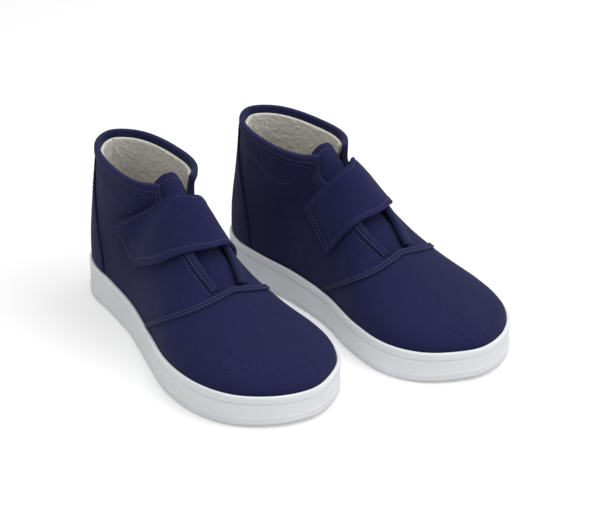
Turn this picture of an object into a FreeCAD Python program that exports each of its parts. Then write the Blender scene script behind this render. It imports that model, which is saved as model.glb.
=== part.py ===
# A pair of canvas ankle boots with a hook-and-loop instep strap on a rubber cupsole.
#
# Each boot is modelled in its own frame: origin on the ground below the middle of the sole,
# toe at -Y, heel at +Y, inner (medial) side at +X on the right boot and -X on the left one.
# The pair stands on Z = 0 and shares one frame, its origin below the middle of the pair.
#
# The upper is one surface, foot_surface(station, rise, depth). Stations run round the sole:
# 0 at the back of the heel, 10 at the toe, 20 at the heel again, the outer side first.
# Rise runs from the sole's rim (0) to the instep ridge or the collar (1); it is negative below
# the rim, where the upper stands inside the cupsole. Depth is measured inwards, so every
# layer of the upper is the same surface at another depth.

import FreeCAD, Part
import math
import os
from FreeCAD import Placement, Rotation, Vector

doc = FreeCAD.newDocument("CanvasBoots")

# ---------------------------------------------------------------- driving dimensions (mm)
SIZES = (
    ("SoleLength", 280.0),      # outsole, toe to heel
    ("BallWidth", 122.0),       # outsole at the ball of the foot
    ("HeelWidth", 66.0),        # outsole at the heel
    ("CollarHeight", 131.0),    # back of the collar above the ground
    ("CollarWidth", 60.0),      # collar opening, side to side
    ("RimToe", 25.5),           # cupsole rim above the ground at the toe
    ("RimHeel", 30.0),          # and at the heel
    ("ToeSpring", 3.0),         # lift of the tread at the toe
    ("SoleWall", 3.0),          # rubber wall round the cup
    ("SoleFloor", 10.0),        # rubber below the cup
    ("FillerThickness", 5.5),   # foam midsole
    ("BoardThickness", 1.9),    # fibre insole board
    ("SockThickness", 4.0),     # loose fleece footbed
    ("CanvasThickness", 1.4),   # outer canvas with its backing
    ("StiffenerThickness", 0.9),
    ("LiningThickness", 2.8),   # fleece pile with its backing
    ("TapeThickness", 1.1),     # folded binding tape
    ("TapeWidth", 5.5),
    ("StrapThickness", 2.2),    # two canvas layers and their filler
    ("HookThickness", 0.9),
    ("FacingGap", 30.0),        # open throat between the facings at the strap
    ("TongueWidth", 48.0),
    ("TongueExtension", 27.0),  # tongue standing above the throat
    ("Fit", 0.3),               # clearance between seated pieces
    ("PairSpacing", 133.0),     # from the right boot's middle to the left one's
    ("PairStagger", 32.4),      # the left boot stands this much further forward
    ("ToeOut", 4.26),           # each boot turned outwards, degrees
)

sheet = doc.addObject("Spreadsheet::Sheet", "Sizes")
for row, (alias, value) in enumerate(SIZES, start=1):
    sheet.set("A%d" % row, alias)
    sheet.set("B%d" % row, str(value))
    sheet.setAlias("B%d" % row, alias)
doc.recompute()
size = {alias: float(sheet.get(alias)) for alias, value in SIZES}

FIT = size["Fit"]
CANVAS = size["CanvasThickness"]
TAPE = size["TapeThickness"]

# Depths of the layers, measured inwards from the outside of the canvas.
STIFFENER_DEPTH = CANVAS + FIT
LINING_DEPTH = STIFFENER_DEPTH + size["StiffenerThickness"] + FIT
BINDING_INNER = CANVAS + FIT
TONGUE_BASE_DEPTH = CANVAS + 2 * FIT
TONGUE_DEPTH = BINDING_INNER + TAPE + 7 * FIT
TONGUE_STEP = CANVAS + FIT

# Levels inside the cupsole.
FILLER_LEVEL = size["SoleFloor"] + FIT
FOOT_LEVEL = FILLER_LEVEL + size["FillerThickness"] + FIT
BOARD_TOP = FOOT_LEVEL + size["BoardThickness"]
LINING_LEVEL = BOARD_TOP + FIT
UPPER_INSET = size["SoleWall"] + FIT

# ---------------------------------------------------------------- shape of the foot
# Outline: share of the length from the toe, outer and inner half width as a share of the ball
# width (first six rows) or of the heel width (the rest). The first row is the toe's tip.
OUTLINE = (
    (0.0, -0.028, 0.028), (0.0245, 0.196, 0.212), (0.0955, 0.398, 0.407), (0.206, 0.503, 0.493),
    (0.3455, 0.506, 0.447), (0.5, 0.412, 0.330), (0.6545, 0.580, 0.514), (0.794, 0.494, 0.511),
    (0.9045, 0.440, 0.455), (0.9755, 0.278, 0.275), (1.0, 0.0, 0.0),
)
BALL_ROWS = 6

# Crown: the line that the upper rises to, along the instep ridge and then round the collar.
# Share of the length, half width as a share of the collar width, share of the collar height,
# slope of the ridge, share of collar in the crown (0 ridge, 1 collar), lean of the upper at the
# rim (mm), lift at the rim, reach across and along the ridge, lift at the collar.
CROWN = (
    (0.186, 0.00, 0.359, 0.64, 0.0, 5.0, 0.21, 1.5, 1.5, 0.00),
    (0.196, 0.00, 0.366, 0.68, 0.0, 5.0, 0.21, 1.5, 1.5, 0.00),
    (0.232, 0.00, 0.389, 0.81, 0.0, 5.0, 0.24, 1.5, 1.5, 0.00),
    (0.289, 0.00, 0.439, 1.07, 0.0, 5.0, 0.29, 1.5, 1.5, 0.00),
    (0.368, 0.00, 0.534, 1.71, 0.0, 4.5, 0.40, 1.5, 1.3, 0.00),
    (0.468, 0.00, 0.733, 1.99, 0.0, 4.0, 0.57, 1.6, 0.8, 0.00),
    (0.568, 0.00, 0.931, 1.99, 0.1, 4.0, 0.75, 1.7, 0.3, 0.46),
    (0.671, 0.45, 0.962, 1.92, 0.9, 4.0, 0.80, 0.9, 0.3, 0.72),
    (0.800, 0.50, 0.977, 0.60, 1.0, 5.0, 0.80, 0.0, 0.0, 0.75),
    (0.914, 0.35, 0.992, 0.00, 1.0, 6.0, 0.80, 0.0, 0.0, 0.75),
    (0.964, 0.00, 1.000, 0.00, 1.0, 6.0, 0.80, 0.0, 0.0, 0.75),
)
TOE = 10                # station of the toe
STATIONS = 20
BELOW_RIM = 0.15        # rise, below zero, that reaches down to the filler
STEP = 0.001            # step of the numeric slopes
OUTLINE_SAMPLES = 40    # samples per station when the outline's reach is measured


def outline_row(index, side):
    along, outer, inner = OUTLINE[index]
    width = size["BallWidth"] if index < BALL_ROWS else size["HeelWidth"]
    half = inner * width if side > 0 else -outer * width
    return (half, (along - 0.5) * size["SoleLength"])


def crown_row(index, side):
    along, half, height, slope, collar, lean, lift, across, onward, up = CROWN[index]
    collar_height = size["CollarHeight"]
    return (side * half * size["CollarWidth"], (along - 0.5) * size["SoleLength"],
            height * collar_height, slope * collar_height / size["SoleLength"], collar,
            lean, lift * collar_height, across, onward, up * collar_height)


def station_loop(make_row):
    """Rows for every station: heel to toe on the outer side, then toe to heel on the inner."""
    outer = [make_row(TOE - index, -1) for index in range(TOE + 1)]
    inner = [make_row(index, 1) for index in range(1, TOE)]
    return outer + inner


OUTLINE_LOOP = station_loop(outline_row)
CROWN_LOOP = station_loop(crown_row)


def smooth_row(loop, station):
    """Catmull-Rom curve through the rows of a closed loop."""
    first = math.floor(station)
    f = station - first
    a, b, c, d = (loop[(first + shift) % len(loop)] for shift in (-1, 0, 1, 2))
    row = []
    for p0, p1, p2, p3 in zip(a, b, c, d):
        cubic = 3 * (p1 - p2) + p3 - p0
        square = 2 * p0 - 5 * p1 + 4 * p2 - p3
        row.append(p1 + 0.5 * f * (p2 - p0 + f * (square + f * cubic)))
    return row


def outline_point(station, inset):
    """Point of the sole's outline, moved inwards by inset."""
    x, y = smooth_row(OUTLINE_LOOP, station)
    x1, y1 = smooth_row(OUTLINE_LOOP, station + STEP)
    x0, y0 = smooth_row(OUTLINE_LOOP, station - STEP)
    length = math.hypot(x1 - x0, y1 - y0)
    return x - inset * (y1 - y0) / length, y + inset * (x1 - x0) / length


def rim_height(y):
    share = min(max(y / size["SoleLength"] + 0.5, 0.0), 1.0)
    return size["RimToe"] + (size["RimHeel"] - size["RimToe"]) * share ** 2


def base_surface(station, rise):
    """Outside of the canvas: a cubic rib from the rim to the crown, straight below the rim."""
    x, y = outline_point(station, UPPER_INSET)
    out_x, out_y = outline_point(station, UPPER_INSET - 1.0)
    rim = rim_height(y)
    row = smooth_row(CROWN_LOOP, station)
    top_x, top_y, top_z, slope, collar, lean, lift, across, onward, up = row
    inner_side = station % STATIONS > TOE
    top_x = max(top_x, 0.0) if inner_side else min(top_x, 0.0)
    foot = Vector(x, y, rim)
    top = Vector(top_x, top_y, top_z)
    start = Vector((out_x - x) * lean, (out_y - y) * lean, lift)
    run = top - foot
    ridge = Vector(run.x * across, run.y * onward, slope * run.y * onward)
    end = ridge * (1 - collar) + Vector(0, 0, up * collar)
    r = max(rise, 0.0)
    point = foot * (2 * r ** 3 - 3 * r ** 2 + 1) + start * (r ** 3 - 2 * r ** 2 + r)
    point = point + top * (3 * r ** 2 - 2 * r ** 3) + end * (r ** 3 - r ** 2)
    point.z += min(rise, 0.0) / BELOW_RIM * (rim - FOOT_LEVEL)
    return point


RIDGE_END = 6.4         # stations from the toe where the ridge starts to turn into the collar
RIDGE_FADE = 0.6


def soft_step(value):
    value = min(max(value, 0.0), 1.0)
    return value * value * (3 - 2 * value)


def inward_normal(station, rise):
    """Unit normal of the base surface, pointing into the boot; square to the ridge on it."""
    above = min(rise + STEP, 1.0)
    along = base_surface(station + STEP, rise) - base_surface(station - STEP, rise)
    up = base_surface(station, above) - base_surface(station, above - 2 * STEP)
    normal = up.cross(along)
    normal.normalize()
    from_toe = abs(station % STATIONS - TOE)
    slope = smooth_row(CROWN_LOOP, station)[3]
    ridge = Vector(0, slope, -1)
    ridge.normalize()
    near = min(max((rise - 0.9) / 0.1, 0.0), 1.0)
    share = soft_step(near * min(max((RIDGE_END - from_toe) / RIDGE_FADE, 0.0), 1.0))
    normal = normal * (1 - share) + ridge * share
    normal.normalize()
    return normal


def foot_surface(station, rise, depth):
    return base_surface(station, rise) + inward_normal(station, rise) * depth


def rise_at_level(station, level):
    """Rise of the point below the rim that stands at this level."""
    x, y = outline_point(station, UPPER_INSET)
    rim = rim_height(y)
    return -BELOW_RIM * (rim - level) / (rim - FOOT_LEVEL)


def rise_at_width(station, half_width):
    """Highest rise at which the rib is still this far from the boot's middle plane."""
    low, high = 0.3, 1.0
    if abs(base_surface(station, high).x) >= half_width:
        return high
    for halving in range(24):
        middle = (low + high) / 2
        if abs(base_surface(station, middle).x) > half_width:
            low = middle
        else:
            high = middle
    return low


def blend(start, end, share):
    return start + (end - start) * share


# ---------------------------------------------------------------- solids from point grids
def slope_at(row, index):
    """Slope of the smooth curve at one of its points."""
    last = len(row) - 1
    if index == 0:
        return (row[1] - row[0]) * 2 - (row[2] - row[0]) * 0.5
    if index == last:
        return (row[last] - row[last - 1]) * 2 - (row[last] - row[last - 2]) * 0.5
    return (row[index + 1] - row[index - 1]) * 0.5


def cubic_poles(row):
    """Poles of the cubic that passes smoothly through a row's points; a pair stays straight."""
    if len(row) == 2:
        return list(row)
    poles = [row[0]]
    for index, point in enumerate(row):
        third = slope_at(row, index) / 3
        if index > 0:
            poles.append(point - third)
        if index < len(row) - 1:
            poles.append(point + third)
    poles.append(row[-1])
    return poles


def spans_of(points):
    """Degree, knots and multiplicities for a row of this many points."""
    degree = 1 if points == 2 else 3
    knots = [float(value) for value in range(points)]
    inner = [2] * (points - 2)
    return degree, knots, [degree + 1] + inner + [degree + 1]


def spline_face(grid):
    """Face that passes through every point of the grid."""
    rows = [cubic_poles(row) for row in grid]
    columns = [cubic_poles(column) for column in zip(*rows)]
    poles = [list(row) for row in zip(*columns)]
    u_degree, u_knots, u_mults = spans_of(len(grid))
    v_degree, v_knots, v_mults = spans_of(len(grid[0]))
    surface = Part.BSplineSurface()
    surface.buildFromPolesMultsKnots(poles, u_mults, v_mults, u_knots, v_knots,
                                     False, False, u_degree, v_degree)
    return surface.toShape()


def solid_of(faces):
    shell = Part.makeCompound(faces)
    shell.sewShape(0.001)
    solid = Part.makeSolid(Part.Shell(shell.Faces))
    if solid.Volume < 0:
        solid.reverse()
    return solid


def grid_walls(outer, inner, sides):
    """Side faces between two grids; sides names the edges that get one."""
    edges = {
        "first": (outer[0], inner[0]),
        "last": (outer[-1], inner[-1]),
        "low": ([row[0] for row in outer], [row[0] for row in inner]),
        "high": ([row[-1] for row in outer], [row[-1] for row in inner]),
    }
    return [spline_face([list(edges[side][0]), list(edges[side][1])]) for side in sides]


ALL_SIDES = ("first", "last", "low", "high")


def layer_grids(domain, columns, rows, near_depth, far_depth):
    """Outer and inner point grids of one layer over a patch of the foot surface.

    domain(u, v) gives station and rise; a depth is a number or a function of u and v.
    """
    outer = []
    inner = []
    for i in range(columns + 1):
        outer_row = []
        inner_row = []
        for j in range(rows + 1):
            u = i / columns
            v = j / rows
            station, rise = domain(u, v)
            near = near_depth(u, v) if callable(near_depth) else near_depth
            far = far_depth(u, v) if callable(far_depth) else far_depth
            outer_row.append(foot_surface(station, rise, near))
            inner_row.append(foot_surface(station, rise, far))
        outer.append(outer_row)
        inner.append(inner_row)
    return outer, inner


def layer(domain, columns, rows, near_depth, far_depth):
    outer, inner = layer_grids(domain, columns, rows, near_depth, far_depth)
    return solid_of([spline_face(outer), spline_face(inner)]
                    + grid_walls(outer, inner, ALL_SIDES))


def folded_layer(domains, columns, rows, near_depth, far_depth):
    """Layer over the two halves of the forefoot, which share the toe rib and the ridge."""
    faces = []
    for domain in domains:
        outer, inner = layer_grids(domain, columns, rows, near_depth, far_depth)
        faces += [spline_face(outer), spline_face(inner)]
        faces += grid_walls(outer, inner, ("last", "low"))
    return solid_of(faces)


# ---------------------------------------------------------------- seams of the upper
SEAM_RIDGE = 3.78       # stations from the toe where the vamp seam crosses the ridge
SEAM_SPREAD = 1.42      # how much further back it meets the sole
SEAM_GAP = 0.012        # half the butt joint between vamp and quarter, in stations
BACK_GAP = 0.012
THROAT_SHARE = 0.66     # throat at the vamp seam as a share of the facing gap
THROAT_FULL = 4.8       # stations from the toe where the throat reaches its full gap
COLLAR_START = 7.0      # from here back the collar itself is the edge
FOOT_RISE = -BELOW_RIM
TAPE_CLEAR = 0.18       # stations from the seam to the end of the binding
RIM_CLEAR = 0.012       # rise at which what lies on the upper starts, clear of the rim


def seam_station(rise):
    return SEAM_RIDGE + SEAM_SPREAD * (1 - max(rise, 0.0)) ** 2


def facing_rise(from_toe, side):
    """Rise of the facing's or collar's edge at this many stations from the toe."""
    if from_toe > COLLAR_START:
        return 1.0
    share = soft_step((from_toe - SEAM_RIDGE) / (THROAT_FULL - SEAM_RIDGE))
    half_gap = size["FacingGap"] / 2 * blend(THROAT_SHARE, 1.0, share)
    return rise_at_width(TOE + side * from_toe, half_gap)


FACING_START = seam_station(0.91) + SEAM_GAP


def vamp_domain(side, short, foot):
    """Half of the forefoot, from the toe rib to the vamp seam."""
    def domain(u, v):
        base = foot(TOE) if callable(foot) else foot
        rise = blend(base, 1.0, v)
        return TOE + side * u * (seam_station(rise) - short), rise
    return domain


def quarter_domain(side, top_drop, foot):
    """Quarter of one side, from the vamp seam to the back; top_drop lowers its top edge."""
    def domain(u, v):
        from_toe = blend(FACING_START, TOE - BACK_GAP, u)
        rise_top = facing_rise(from_toe, side) - top_drop(from_toe, side)
        station_top = TOE + side * from_toe
        base = foot(station_top) if callable(foot) else foot
        rise = blend(base, rise_top, v)
        front = seam_station(rise) + SEAM_GAP
        return TOE + side * blend(front, TOE - BACK_GAP, u), rise
    return domain


def rib_length(station, rise):
    """Length of the rib per unit of rise."""
    above = min(rise + STEP, 1.0)
    return (base_surface(station, above) - base_surface(station, above - STEP)).Length / STEP


def edge_drop(from_toe, side):
    """The cut edge of the canvas stays this far under the fold of its binding."""
    return 4 * FIT / rib_length(TOE + side * from_toe, facing_rise(from_toe, side))


def lining_drop(from_toe, side):
    """The quarter lining stops below the binding and beside the tongue."""
    station = TOE + side * from_toe
    edge = facing_rise(from_toe, side)
    below_tape = (size["TapeWidth"] + 4 * FIT) / rib_length(station, edge)
    lining_end = LINING_DEPTH + size["LiningThickness"]
    beside_tongue = edge - rise_at_width(station, size["TongueWidth"] / 2 + 2 * lining_end)
    inside_throat = soft_step((6.9 - from_toe) / 0.5)
    return max(below_tape, beside_tongue * inside_throat)


def lining_foot(station):
    return rise_at_level(station, LINING_LEVEL)


def seam_tape_domain(u, v):
    """Strip over the vamp seam, from the outer side over the ridge to the inner side."""
    across = 2 * u - 1
    rise = blend(1.0, RIM_CLEAR, abs(across))
    side = 1 if across > 0 else -1
    from_toe = seam_station(rise)
    station = TOE + side * from_toe
    step = (base_surface(station + 0.01, rise) - base_surface(station - 0.01, rise)).Length / 0.02
    half = size["TapeWidth"] / 2 / max(step, 1.0)
    return TOE + side * (from_toe + blend(-half, half, v)), rise


def back_stay_domain(u, v):
    """Heel panel: wide at the sole, a narrow strip at the collar."""
    across = 2 * u - 1
    top = 1.0 - (size["TapeWidth"] + 2 * FIT) / rib_length(0.0, 1.0)
    rise = blend(RIM_CLEAR, top, v)
    half = blend(2.6, 0.75, soft_step(rise))
    return across * half, rise


def counter_domain(u, v):
    return blend(-2.6, 2.6, u), blend(lining_foot(0.0), 0.45, v)


def puff_domain(u, v):
    return TOE + blend(-2.2, 2.2, u), blend(lining_foot(TOE), 0.5, v)


# ---------------------------------------------------------------- strap
# Stations from the toe and distance below the ridge (inner side positive), from the sewn end on
# the inner quarter, over the ridge, to the free end on the outer quarter.
STRAP_LOWER = ((5.15, 0.67), (5.03, 0.55), (4.88, 0.34), (4.75, 0.0), (4.95, -0.28),
               (5.35, -0.54), (6.1, -0.75))
STRAP_UPPER = ((6.2, 0.54), (6.05, 0.45), (5.88, 0.25), (5.9, 0.0), (6.35, -0.24),
               (6.85, -0.32), (7.35, -0.45))
SEWN_END = 0.1          # share of the strap's length that is sewn down
STRAP_SLIT = 0.006      # cut between the sewn end and the flap, as a share of the length
HOOK_SPAN = (0.83, 0.97)
HOOK_BAND = (0.14, 0.82)
END_ROUNDING = 0.05     # how far the free end's corners are pulled back


def open_row(rows, share):
    """Catmull-Rom curve through an open list of rows, share from 0 to 1."""
    padded = [rows[0]] + list(rows) + [rows[-1]]
    place = min(max(share, 0.0), 1.0) * (len(rows) - 1)
    first = min(int(place), len(rows) - 2)
    return smooth_row(padded, place - first + first + 1)


def strap_point(u, v):
    low = open_row(STRAP_LOWER, u)
    high = open_row(STRAP_UPPER, u)
    from_toe = blend(low[0], high[0], v)
    below = blend(low[1], high[1], v)
    side = 1 if below > 0 else -1
    return TOE + side * from_toe, 1 - abs(below)


def strap_inner_depth(u, v):
    """The strap rises from the quarter over the facings and then over hook and loop."""
    over_binding = TAPE + FIT + FIT
    over_hooks = FIT + 2 * (size["HookThickness"] + FIT)
    lifted = blend(FIT, over_binding, soft_step(u / 0.25))
    return -blend(lifted, max(over_hooks, over_binding), soft_step((u - 0.6) / 0.12))


def strap_outer_depth(u, v):
    return strap_inner_depth(u, v) - size["StrapThickness"]


def strap_span(start, end):
    def domain(u, v):
        corner = (2 * v - 1) ** 4 * END_ROUNDING
        last = end - corner if end == 1.0 else end
        return strap_point(blend(start, last, u), v)
    return domain


def strap_depth(function, start, end):
    def depth(u, v):
        return function(blend(start, end, u), v)
    return depth


def patch_domain(u, v):
    return strap_point(blend(*HOOK_SPAN, u), blend(*HOOK_BAND, v))


# ---------------------------------------------------------------- tongue
TONGUE_BASE = 3.70      # stations from the toe
TONGUE_TURN = 5.75      # where it leaves the ridge line and runs straight on
TONGUE_BASE_SHARE = 0.6 # widths at the base and at the top, as shares of the width
TONGUE_TOP_SHARE = 0.62
TONGUE_TUCK = 8.5       # the top leans this much into the shaft
TONGUE_CURL = 2.6       # the side edges turn in this much more than the facings above


def tongue_grids(near_base, near_top, thickness, trim):
    """Point grids of the tongue: it follows the throat and then stands straight on."""
    rows_along = 14
    rows_across = 12
    slope = smooth_row(CROWN_LOOP, TOE + TONGUE_TURN)[3]
    onward = Vector(0, 1, slope)
    onward.normalize()
    inward = Vector(0, onward.z, -onward.y)
    outer = []
    inner = []
    for i in range(rows_along + 1):
        share = i / rows_along
        follow = min(share / 0.75, 1.0)
        past = max(share - 0.75, 0.0) / 0.25 * (size["TongueExtension"] - trim)
        from_toe = blend(TONGUE_BASE, TONGUE_TURN, follow)
        spread = blend(TONGUE_BASE_SHARE, 1.0, soft_step(share / 0.4))
        spread = spread * blend(1.0, TONGUE_TOP_SHARE, soft_step((share - 0.45) / 0.3))
        round_top = math.sqrt(max(1 - max((share - 0.82) / 0.26, 0.0) ** 2, 0.0))
        half = (size["TongueWidth"] / 2 - trim) * spread * round_top
        tucked = TONGUE_TUCK * soft_step((share - 0.25) / 0.5)
        near = (near_base if i == 0 else near_top) + tucked
        outer_row = []
        inner_row = []
        for j in range(rows_across + 1):
            across = 2 * j / rows_across - 1
            station = TOE + from_toe * (1 if across > 0 else -1)
            on_ridge = base_surface(station, rise_at_width(station, abs(across) * half))
            point = on_ridge + onward * past + inward * (near + TONGUE_CURL * across ** 4)
            outer_row.append(point)
            inner_row.append(point + inward * thickness)
        outer.append(outer_row)
        inner.append(inner_row)
    return outer, inner


def tongue_solid(near_base, near_top, thickness, trim):
    outer, inner = tongue_grids(near_base, near_top, thickness, trim)
    return solid_of([spline_face(outer), spline_face(inner)]
                    + grid_walls(outer, inner, ALL_SIDES))


# ---------------------------------------------------------------- topline binding
def binding_solid():
    """Folded tape over the facings' and collar's edge: a channel section swept round it."""
    columns = 120
    over = TAPE + FIT
    inner_leg = BINDING_INNER + TAPE
    first = FACING_START + TAPE_CLEAR
    sections = []
    for i in range(columns + 1):
        place = 2 * i / columns - 1
        side = 1 if place > 0 else -1
        from_toe = blend(TOE, first, abs(place))
        rise = facing_rise(from_toe, side)
        station = TOE + side * from_toe
        low = rise - size["TapeWidth"] / rib_length(station, rise)
        middle = (rise + low) / 2
        edge = base_surface(station, rise)
        above = min(rise + STEP, 1.0)
        up = base_surface(station, above) - base_surface(station, above - STEP)
        up.normalize()
        inward = inward_normal(station, rise)
        section = []
        for depth, beyond in ((-over, over), (inner_leg, over), (BINDING_INNER, FIT), (-FIT, FIT)):
            section.append((foot_surface(station, low, depth),
                            foot_surface(station, middle, depth),
                            edge + up * beyond + inward * depth))
        sections.append(section)
    faces = []
    corners = [[list(row) for row in zip(*leg)] for leg in zip(*sections)]
    outer, inner, inside, outside = corners
    for leg in corners:
        faces.append(spline_face(leg))
    faces.append(spline_face([outer[2], inner[2]]))
    faces.append(spline_face([inside[2], outside[2]]))
    faces.append(spline_face([inner[0], inside[0]]))
    faces.append(spline_face([outside[0], outer[0]]))
    for outer, inner, inside, outside in (sections[0], sections[-1]):
        faces.append(spline_face([list(outer), list(outside)]))
        faces.append(spline_face([list(inner), list(inside)]))
        faces.append(spline_face([[outer[2], inner[2]], [outside[2], inside[2]]]))
    return solid_of(faces)


# ---------------------------------------------------------------- sub-parts
SOLE_POINTS = 60


def outline_spline(inset, mirror):
    points = []
    for index in range(SOLE_POINTS):
        x, y = outline_point(index * STATIONS / SOLE_POINTS, inset)
        points.append(Vector(mirror * x, y, 0))
    curve = Part.BSplineCurve()
    curve.interpolate(Points=points, PeriodicFlag=True)
    return curve


def origin_plane(body, role):
    for feature in body.Origin.OriginFeatures:
        if feature.Role == role:
            return feature
    raise ValueError(role)


def sketch_on(body, role, name):
    sketch = body.newObject("Sketcher::SketchObject", name)
    sketch.AttachmentSupport = [(origin_plane(body, role), "")]
    sketch.MapMode = "FlatFace"
    return sketch


def pad_body(label, inset, mirror, thickness):
    """Slab with the sole's outline, moved inwards; its thickness is bound to the sheet."""
    body = doc.addObject("PartDesign::Body", label)
    body.Label = label
    sketch = sketch_on(body, "XY_Plane", label + "_outline")
    sketch.addGeometry(outline_spline(inset, mirror), False)
    pad = body.newObject("PartDesign::Pad", label + "_pad")
    pad.Profile = sketch
    pad.setExpression("Length", thickness)
    return body, pad


def side_profile(points_low, corner_high):
    """Closed wire in the YZ plane: a spline below, closed by straight lines."""
    curve = Part.BSplineCurve()
    curve.interpolate(Points=points_low)
    first, last = points_low[0], points_low[-1]
    top = corner_high
    return [curve, Part.LineSegment(last, Vector(last.x, top, 0)),
            Part.LineSegment(Vector(last.x, top, 0), Vector(first.x, top, 0)),
            Part.LineSegment(Vector(first.x, top, 0), first)]


def cut_through(body, label, geometry):
    sketch = sketch_on(body, "YZ_Plane", label + "_sketch")
    for item in geometry:
        sketch.addGeometry(item, False)
    pocket = body.newObject("PartDesign::Pocket", label)
    pocket.Profile = sketch
    pocket.Midplane = True
    pocket.Type = 1
    return pocket


def make_cupsole(label, mirror):
    body, pad = pad_body(label, 0.0, mirror, "Sizes.RimHeel")
    reach = size["SoleLength"] * 0.6
    steps = 12
    rim = []
    tread = []
    for index in range(steps + 1):
        y = blend(-reach, reach, index / steps)
        rim.append(Vector(y, rim_height(y), 0))
    rim_cut = cut_through(body, label + "_rim", side_profile(rim, size["RimHeel"] + 20))
    spring_start = -0.22 * size["SoleLength"]
    for index in range(steps + 1):
        y = blend(-reach, spring_start, index / steps)
        share = max((spring_start - y) / (size["SoleLength"] / 2 + spring_start), 0.0)
        tread.append(Vector(y, size["ToeSpring"] * share * (0.25 + 0.75 * share), 0))
    tread_cut = cut_through(body, label + "_toe_spring", side_profile(tread, -20.0))
    sketch = sketch_on(body, "XY_Plane", label + "_cup_outline")
    sketch.AttachmentOffset = Placement(Vector(0, 0, size["SoleFloor"]), Rotation())
    sketch.setExpression(".AttachmentOffset.Base.z", "Sizes.SoleFloor")
    sketch.addGeometry(outline_spline(size["SoleWall"], mirror), False)
    cup = body.newObject("PartDesign::Pocket", label + "_cup")
    cup.Profile = sketch
    cup.Reversed = True
    cup.setExpression("Length", "Sizes.RimHeel")
    doc.recompute()
    for earlier, later in ((pad, rim_cut), (rim_cut, tread_cut), (tread_cut, cup)):
        if later.Shape.Volume > earlier.Shape.Volume - 1.0:
            raise ValueError("no material cut by " + later.Name)
    return body


def make_feature(label, shape, mirror):
    if mirror < 0:
        shape = shape.mirror(Vector(0, 0, 0), Vector(1, 0, 0))
    feature = doc.addObject("Part::Feature", label)
    feature.Label = label
    feature.Shape = shape
    return feature


def upper_shapes():
    """Every shell of one right boot's upper, by name."""
    halves = [vamp_domain(side, SEAM_GAP, FOOT_RISE) for side in (-1, 1)]
    lined = [vamp_domain(side, 0.4, lining_foot) for side in (-1, 1)]
    stiff_end = STIFFENER_DEPTH + size["StiffenerThickness"]
    lining_end = LINING_DEPTH + size["LiningThickness"]
    tape_outer = -FIT - TAPE
    strap_slit_end = SEWN_END + STRAP_SLIT
    hook_top = -FIT - size["HookThickness"]
    hook_bottom = hook_top - FIT
    shapes = {
        "vamp": folded_layer(halves, 16, 14, 0.0, CANVAS),
        "vamp_lining": folded_layer(lined, 14, 12, LINING_DEPTH, lining_end),
        "toe_puff": layer(puff_domain, 30, 10, STIFFENER_DEPTH, stiff_end),
        "heel_counter": layer(counter_domain, 36, 10, STIFFENER_DEPTH, stiff_end),
        "back_stay": layer(back_stay_domain, 36, 16, -FIT - CANVAS, -FIT),
        "vamp_seam_tape": layer(seam_tape_domain, 32, 3, tape_outer, -FIT),
        "topline_binding": binding_solid(),
        "tongue": tongue_solid(TONGUE_BASE_DEPTH, TONGUE_DEPTH, CANVAS, 0.0),
        "tongue_lining": tongue_solid(TONGUE_BASE_DEPTH + TONGUE_STEP, TONGUE_DEPTH + TONGUE_STEP,
                                      size["LiningThickness"], 2.0),
        "strap_sewn_end": layer(strap_span(0.0, SEWN_END), 4, 8,
                                strap_depth(strap_outer_depth, 0.0, SEWN_END),
                                strap_depth(strap_inner_depth, 0.0, SEWN_END)),
        "strap_flap": layer(strap_span(strap_slit_end, 1.0), 34, 10,
                            strap_depth(strap_outer_depth, strap_slit_end, 1.0),
                            strap_depth(strap_inner_depth, strap_slit_end, 1.0)),
        "loop_patch": layer(patch_domain, 8, 6, hook_top, -FIT),
        "hook_patch": layer(patch_domain, 8, 6, hook_bottom - size["HookThickness"],
                            hook_bottom),
    }
    for name, side in (("lateral", -1), ("medial", 1)):
        outer = quarter_domain(side, edge_drop, FOOT_RISE)
        lining = quarter_domain(side, lining_drop, lining_foot)
        shapes[name + "_quarter"] = layer(outer, 36, 16, 0.0, CANVAS)
        shapes[name + "_lining"] = layer(lining, 32, 12, LINING_DEPTH, lining_end)
    return shapes


def boot_placement(mirror):
    """Right boot at -X, left boot at +X and further forward, both turned outwards."""
    x = -mirror * size["PairSpacing"] / 2
    y = mirror * size["PairStagger"] / 2 - pair_middle
    turn = Rotation(Vector(0, 0, 1), -mirror * size["ToeOut"])
    return Placement(Vector(x, y, 0), turn)


def outline_reach(pick):
    """Furthest point of the turned right outsole to the front (max) or the back (min)."""
    turn = Rotation(Vector(0, 0, 1), -size["ToeOut"])
    edge = [outline_point(station / OUTLINE_SAMPLES, 0.0)
            for station in range(STATIONS * OUTLINE_SAMPLES)]
    return pick(turn.multVec(Vector(x, y, 0)).y for x, y in edge)


pair_middle = (outline_reach(max) + outline_reach(min)) / 2


def raised(placement, height):
    return Placement(placement.Base + Vector(0, 0, height), placement.Rotation)


shapes = upper_shapes()
parts = []
for side_name, mirror in (("right", 1), ("left", -1)):
    placement = boot_placement(mirror)
    cupsole = make_cupsole("cupsole_" + side_name, mirror)
    cupsole.Placement = placement
    parts.append(cupsole)
    inner_inset = UPPER_INSET + CANVAS + FIT
    sock_inset = UPPER_INSET + LINING_DEPTH + size["LiningThickness"] + FIT
    layers = (
        ("sole_filler_", UPPER_INSET, "Sizes.FillerThickness", FILLER_LEVEL),
        ("insole_board_", inner_inset, "Sizes.BoardThickness", FOOT_LEVEL),
        ("sockliner_", sock_inset, "Sizes.SockThickness", LINING_LEVEL),
    )
    for name, inset, thickness, level in layers:
        body, pad = pad_body(name + side_name, inset, mirror, thickness)
        body.Placement = raised(placement, level)
        parts.append(body)
    for name, shape in shapes.items():
        feature = make_feature(name + "_" + side_name, shape, mirror)
        feature.Placement = placement
        parts.append(feature)
doc.recompute()

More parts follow.
